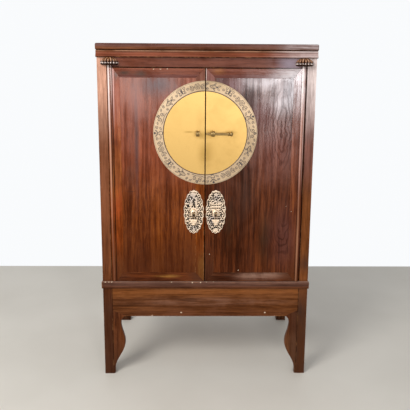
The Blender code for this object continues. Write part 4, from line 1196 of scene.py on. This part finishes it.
RING_NAIL_INSET = 0.0095
PLATE_NAIL_INSET = 0.0045
PLATE_FACE = 0.003
nail_profile = in_metres([(0, -1), (0.9, -0.8), (1.5, -0.3), (1.7, 0), (1.7, 0.3), (0, 0.3)])


def nail(place):
    """A small domed head, sunk a little into its plate."""
    return lathe(nail_profile, 14, place, Y)


for side, sign in SIDES.items():
    ring_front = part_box(side + "_medallion_ring")[0].y
    plate_low, plate_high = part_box(side + "_pull_plate")
    plate_x = (plate_low.x + plate_high.x) / 2
    plate_front_y = plate_high.y - PLATE_FACE
    heads = []
    for step in range(1, TILES):
        turn = -sign * math.pi / 2 + math.pi * step / TILES
        heads.append(nail(on_ring(turn, MEDALLION_RADIUS - RING_NAIL_INSET, ring_front)))
    for end in (-1, 1):
        rise = end * (PULL_HALF_HEIGHT - PLATE_NAIL_INSET)
        shift = end * (PULL_HALF_WIDTH - PLATE_NAIL_INSET)
        heads.append(nail((plate_x, plate_front_y, PULL_Z + rise)))
        heads.append(nail((plate_x + shift, plate_front_y, PULL_Z)))
    keep(joined(side + "_nail_heads", heads, fitting_brass, 50), side + "_door", "pale_brass")


# Lock

LOOP_EDGE = 0.0022
RIB_BEND = 0.0132
RIB_RADIUS = 0.0018
RIB_PITCH = 0.0055
RIB_SIDES = 8
RIB_STEPS = 28
RIB_SWEEP = math.radians(200)

# Radius and place along the pin in millimetres, from its point to its knob
pin_profile = [
    (0, 0), (1.6, 0.2), (3, 2), (4.8, 8), (5.9, 15), (6, 20), (6, 108), (6, 111.5), (8.8, 112.8),
    (9.5, 114.6), (8.8, 116.6), (6.2, 117.6), (6, 119), (7.8, 119.8), (8, 121), (6.4, 122),
    (9.6, 124.5), (11.4, 128.5), (11.2, 133), (9, 136.2), (5.2, 137.8), (0, 138),
]


def rib(x):
    """A raised bead that runs over the front of an eye."""
    sections = []
    for step in range(RIB_STEPS + 1):
        turn = RIB_SWEEP * (step / RIB_STEPS - 0.5)
        section = []
        for corner in range(RIB_SIDES):
            around = math.tau * corner / RIB_SIDES
            reach = RIB_BEND + RIB_RADIUS * math.cos(around)
            y, z = PIN_Y - reach * math.cos(turn), MEDALLION_Z + reach * math.sin(turn)
            section.append((x + RIB_RADIUS * math.sin(around), y, z))
        sections.append(section)
    return bar(sections)


for side in SIDES:
    softened(side + "_lock_loop", loop_brass, LOOP_EDGE, 4)
    loop_low, loop_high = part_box(side + "_lock_loop")
    loop_x = (loop_low.x + loop_high.x) / 2
    ribs = [rib(loop_x + shift) for shift in (-RIB_PITCH, 0.0, RIB_PITCH)]
    keep(joined(side + "_loop_ribs", ribs, dark_brass), side + "_door", "dark_brass")
pin_low, pin_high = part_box("lock_pin")
pin_place = (pin_low.x, PIN_Y, (pin_low.z + pin_high.z) / 2)
pin_form = lathe(in_metres(pin_profile), 40, pin_place, X)
keep(joined("turned_lock_pin", [pin_form], dark_brass), "lock_pin", "dark_brass", "lock_pin")


# Drop pulls

PLATE_STEP = 0.0009
PLATE_REACH = (0.0575, 0.1225)
RIM_WIDTH = 0.0056
RIM_HOLE_INSET = 0.004
RIM_HOLE_RADIUS = 0.0017
BOSS_SEAT = ((0, 0.002), 0.0205, 0.019)
SLOT_HALF_WIDTH = 0.008
SLOT_TOP = 0.004
SLOT_FOOT = -0.025
GROUND_STEP = 0.0016
GROUND_INSET = 0.002
GROUND_THICK = 0.0004
FRET_RISE = 0.0104
FRET_PITCH = 0.0114
FRET_SHAKE = 0.0026
FRET_HALF_LENGTH = 0.0069
FRET_HALF_WIDTH = 0.0034


def plate_share(x, z):
    """Zero at the middle of the plate, one along its oval."""
    return np.hypot(x / PULL_HALF_WIDTH, z / PULL_HALF_HEIGHT)


def plate_outline(x, z):
    """A scalloped oval."""
    turn = np.arctan2(x / PULL_HALF_WIDTH, z / PULL_HALF_HEIGHT)
    reach = np.hypot(PULL_HALF_WIDTH * np.sin(turn), PULL_HALF_HEIGHT * np.cos(turn))
    lobes = PULL_LOBE_RISE * (np.abs(np.cos(PULL_LOBES * turn / 2)) - 1)
    return (1 - plate_share(x, z)) * reach + lobes


def ground_field(x, z):
    return plate_outline(x, z) - GROUND_INSET


def fretwork(x, z, seed):
    """Many small leaf-shaped openings, scattered like foliage."""
    scatter = np.random.RandomState(seed)
    openings = np.full(x.shape, -1.0)
    for row, height in enumerate(np.arange(-0.108, 0.1085, FRET_RISE)):
        for column in np.arange(-0.05, 0.0505, FRET_PITCH):
            shake = scatter.uniform(-FRET_SHAKE, FRET_SHAKE, 2)
            middle = shake + (column + FRET_PITCH / 2 * (row % 2), height)
            turn = scatter.uniform(0, math.pi)
            reach = FRET_HALF_LENGTH * np.array((math.cos(turn), math.sin(turn)))
            openings = np.maximum(openings, leaf(x, z, middle - reach, middle + reach, FRET_HALF_WIDTH))
    return openings


# Motifs at the centre of each plate, in millimetres: what stays solid, then what is cut

def tower(x, z):
    """Two rows of small windows under a roof."""
    solid = [
        np.minimum(25.5 - np.abs(x), 16.5 - np.abs(z - 27.5)),
        stroke(x, z, [(-32, 46), (-14, 50), (0, 60), (14, 50), (32, 46)], 4.2),
        oval(x, z, (0, -100), 12, 8.5),
        oval(x, z, (1, 93), 9, 7),
    ]
    cuts = [oval(x, z, (0, -85), 10, 3.6)]
    for height in (19, 35):
        for place in (-19, -9.5, 0, 9.5, 19):
            cuts.append(oval(x, z, (place, height), 3, 3.6))
    return solid, cuts


def flower(x, z):
    """A bloom over two slender spires."""
    solid = [
        rosette(x, z, (-2, 90), 13, 7, 0.24),
        leaf(x, z, (-16, 14), (-14, 70), 5.8),
        leaf(x, z, (13, 14), (14, 82), 5.8),
        stroke(x, z, [(-30, 20), (30, 20)], 4.6),
        leaf(x, z, (0, -112), (0, -86), 7),
    ]
    cuts = [oval(x, z, (-0.5, 56), 3.4, 11)]
    for place in (-27, -6, 5, 27):
        cuts.append(oval(x, z, (place, 30), 4, 3.4))
    return solid, cuts


def openwork(centre, seed):
    """The field of a plate: a scalloped rim, a solid centre motif, and pierced foliage."""
    def field(x, z):
        outer = plate_outline(x, z)
        solid, cuts = ([MM * part for part in parts] for parts in centre(x / MM, z / MM))
        solid += [RIM_WIDTH - outer, oval(x, z, *BOSS_SEAT)]
        cuts.append(np.minimum(SLOT_HALF_WIDTH - np.abs(x), np.minimum(SLOT_TOP - z, z - SLOT_FOOT)))
        for lobe in range(PULL_LOBES):
            turn = math.tau * lobe / PULL_LOBES
            across = (PULL_HALF_WIDTH - RIM_HOLE_INSET) * math.sin(turn)
            upright = (PULL_HALF_HEIGHT - RIM_HOLE_INSET) * math.cos(turn)
            cuts.append(dot(x, z, (across, upright), RIM_HOLE_RADIUS))
        pierced = np.maximum(-fretwork(x, z, seed), union(*solid))
        return np.minimum(np.minimum(outer, pierced), -union(*cuts))

    return field


plate_fields = {"left": openwork(flower, 3), "right": openwork(tower, 8)}


def plate_front(x, z, f):
    swell = pillow(f, 0.0024)
    rim = np.clip((plate_share(x, z) - 0.86) / 0.05, 0, 1)
    return -(0.0012 + 0.0013 * swell + 0.0006 * rim), 0.25 + 0.75 * swell * (0.75 + 0.25 * rim)


FITTING_STEP = 0.0006
BOSS_REACH = (0.021, 0.021)
BOSS_RADIUS = 0.019
BOSS_LEG = 0.016
BOSS_DEPTH = 0.016
BOSS_EDGE = 0.004
BOSS_GAP = 0.0003


def boss_field(x, z):
    """An arch with a slot for the arms of the drop."""
    dome = np.where(z > 0, BOSS_RADIUS - np.hypot(x, z), BOSS_RADIUS - np.abs(x))
    arch = np.minimum(dome, z + BOSS_LEG)
    slot = np.minimum(0.0076 - np.abs(x), 0.0085 - z)
    return np.minimum(arch, -slot)


def boss_front(x, z, f):
    swell = pillow(1 - np.hypot(x, np.maximum(z, 0)) / (BOSS_RADIUS * 1.02), 1)
    bulge = (BOSS_DEPTH - BOSS_EDGE) * swell * pillow(f + 0.0012, 0.003)
    return -(BOSS_EDGE + bulge), 0.4 + 0.6 * swell


DROP_REACH = (0.0222, 0.069)
DROP_TOP = -0.0335
DROP_FOOT = -0.067
DROP_GROOVES = (-0.039, -0.0445, -0.0592)
GROOVE_WIDTH = 0.0008
EYE_RADIUS = 0.0052
BORE_RADIUS = 0.003
ARM_PLACE = 0.0042
ARM_HALF_WIDTH = 0.001
ARM_LAP = 0.003

# Half width of the drop and how far below its eye, in millimetres: lid, cup and knob
drop_profile = [
    (18.6, 33.5), (20.4, 34.5), (20.8, 37), (19.2, 39), (19.8, 40.5), (19.4, 43), (17.4, 44.5), (17, 46),
    (15.4, 50), (12.2, 55), (8.8, 58), (7.6, 59.5), (9.4, 61.5), (9.8, 64), (8, 66), (5.8, 67),
]
drop_widths, drop_depths = zip(*in_metres(drop_profile))
bolt_profile = in_metres([(0, -15), (2.4, -14.6), (2.4, 14.6), (0, 15)])


def drop_field(x, z):
    """Outline of the drop, from its eye at the origin downward: two arms, a lid, a cup and a knob."""
    out = np.hypot(x, z)
    arms = ARM_HALF_WIDTH - np.abs(np.abs(x) - ARM_PLACE)
    neck = np.minimum(arms, np.minimum(-z, z - DROP_TOP + ARM_LAP))
    width = np.interp(-z, drop_depths, drop_widths)
    cup = np.minimum(width - np.abs(x), np.minimum(DROP_TOP - z, z - DROP_FOOT))
    return np.minimum(union(EYE_RADIUS - out, neck, cup), out - BORE_RADIUS)


def drop_swell(x, z, f):
    grooves = sum(np.exp(-(((z - place) / GROOVE_WIDTH) ** 2)) for place in DROP_GROOVES)
    return 0.0012 + 0.0037 * pillow(f, 0.006) * (1 - 0.4 * np.minimum(grooves, 1))


def drop_front(x, z, f):
    return -drop_swell(x, z, f), 0.35 + 0.65 * pillow(f, 0.004)


for side in SIDES:
    body = side + "_door"
    plate_low, plate_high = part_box(side + "_pull_plate")
    middle_x = (plate_low.x + plate_high.x) / 2
    seat = (middle_x, plate_high.y, PULL_Z)
    hinge = (middle_x, HINGE_Y, HINGE_Z)

    built = field_mesh(plate_fields[side], PLATE_REACH, PLATE_STEP, plate_front, level_back(-GROUND_THICK))
    plate = relief_object(side + "_pierced_plate", built, plate_brass, seat)
    keep(plate, body, "pale_brass", side + "_pull_plate")

    built = field_mesh(ground_field, PLATE_REACH, GROUND_STEP, level_front(-GROUND_THICK), level_back(0.0))
    keep(relief_object(side + "_plate_ground", built, ground_brass, seat), body, "pale_brass")

    built = field_mesh(boss_field, BOSS_REACH, FITTING_STEP, boss_front, level_back(0.0))
    boss_place = (middle_x, plate_low.y - BOSS_GAP, HINGE_Z)
    boss = relief_object(side + "_domed_boss", built, fitting_brass, boss_place)
    keep(boss, body, "pale_brass", side + "_pull_boss")

    bolt = joined(side + "_hinge_bolt", [lathe(bolt_profile, 18, hinge, X)], dark_brass, 50)
    keep(bolt, body, "dark_brass")

    built = field_mesh(drop_field, DROP_REACH, FITTING_STEP, drop_front, drop_swell)
    drop = relief_object(side + "_vase_drop", built, fitting_brass, hinge)
    keep(drop, side + "_pull", "pale_brass", side + "_pull_drop")


# Floor and room

FLOOR_SIDE = 7
FLOOR_NEAR = -8
FLOOR_FAR = FRONT_Y + 1.713
ROOM_TINT = (0.97, 0.985, 1.0, 1)
ROOM_LIGHT = 0.45
ROOM_WHITE = 0.98


def floor_material():
    g = new_material("pale_floor")
    tone = g.noise(g.place, 1.6, 3.0, 0.5)
    colour = g.ramp(tone, [(0.35, (0.74, 0.7, 0.628)), (0.65, (0.79, 0.75, 0.678))])
    return g.surface({"Base Color": colour, "Roughness": 0.62})


floor_corners = [
    (-FLOOR_SIDE, FLOOR_NEAR, 0),
    (FLOOR_SIDE, FLOOR_NEAR, 0),
    (FLOOR_SIDE, FLOOR_FAR, 0),
    (-FLOOR_SIDE, FLOOR_FAR, 0),
]
floor = mesh_object("floor", floor_corners, [[0, 1, 2, 3]], floor_material())

scene = bpy.context.scene
scene.view_settings.view_transform = "Standard"
room = Graph(bpy.data.worlds.new("white_room"))
scene.world = room.owner
path = room.add("ShaderNodeLightPath").outputs
seen = room.math("MAXIMUM", path["Is Camera Ray"], path["Is Glossy Ray"])
seen = room.math("MAXIMUM", seen, path["Is Transmission Ray"])
strength = room.span(seen, 0.0, 1.0, ROOM_LIGHT, ROOM_WHITE)
glow = room.add("ShaderNodeBackground", {"Color": ROOM_TINT, "Strength": strength})
room.add("ShaderNodeOutputWorld", {"Surface": glow.outputs[0]})


# Lights and camera

WARM = (1.0, 0.985, 0.96)
NEUTRAL = (1.0, 1.0, 1.0)
COOL = (0.97, 0.97, 1.0)


def area_light(name, place, aim, size, power, tint):
    lamp = bpy.data.lights.new(name, "AREA")
    lamp.shape = "RECTANGLE"
    lamp.size, lamp.size_y = size
    lamp.energy = power
    lamp.color = tint
    obj = linked(name, lamp)
    obj.location = place
    obj.rotation_euler = (Vector(aim) - Vector(place)).to_track_quat("-Z", "Y").to_euler()


area_light("key", (-2.4, -3.4, 3.3), (0, 0, 0.7), (1.7, 1.7), 125, WARM)
area_light("front", (-0.96, FRONT_Y - 4.3, 2.0), (-0.96, 0, 2.0), (2.6, 1.4), 23, NEUTRAL)
area_light("window", (1.11, FRONT_Y - 4.1, 1.48), (1.11, 0, 1.48), (0.32, 0.84), 15, COOL)
area_light("transom", (0.99, FRONT_Y - 4.12, 1.74), (0.99, 0, 1.74), (0.56, 0.36), 10, COOL)

CAMERA_PLACE = (-0.0501, FRONT_Y - 2.8126, 1.6631)
CAMERA_YAW = math.radians(-0.8775)
CAMERA_PITCH = math.radians(10.4119)
CAMERA_ROLL = math.radians(0.3873)
IMAGE = 410
FOCAL_PIXELS = 547.2
AXIS_ROW = 172

yaw = Matrix.Rotation(CAMERA_YAW, 4, "Z")
tilt = Matrix.Rotation(math.pi / 2 - CAMERA_PITCH, 4, "X")
roll = Matrix.Rotation(CAMERA_ROLL, 4, "Z")
lens = bpy.data.cameras.new("camera")
lens.sensor_fit = "HORIZONTAL"
lens.sensor_width = 36
lens.lens = FOCAL_PIXELS / IMAGE * lens.sensor_width
lens.shift_y = (AXIS_ROW - IMAGE / 2) / IMAGE
camera = linked("camera", lens)
camera.matrix_world = Matrix.Translation(CAMERA_PLACE) @ yaw @ tilt @ roll
scene.camera = camera
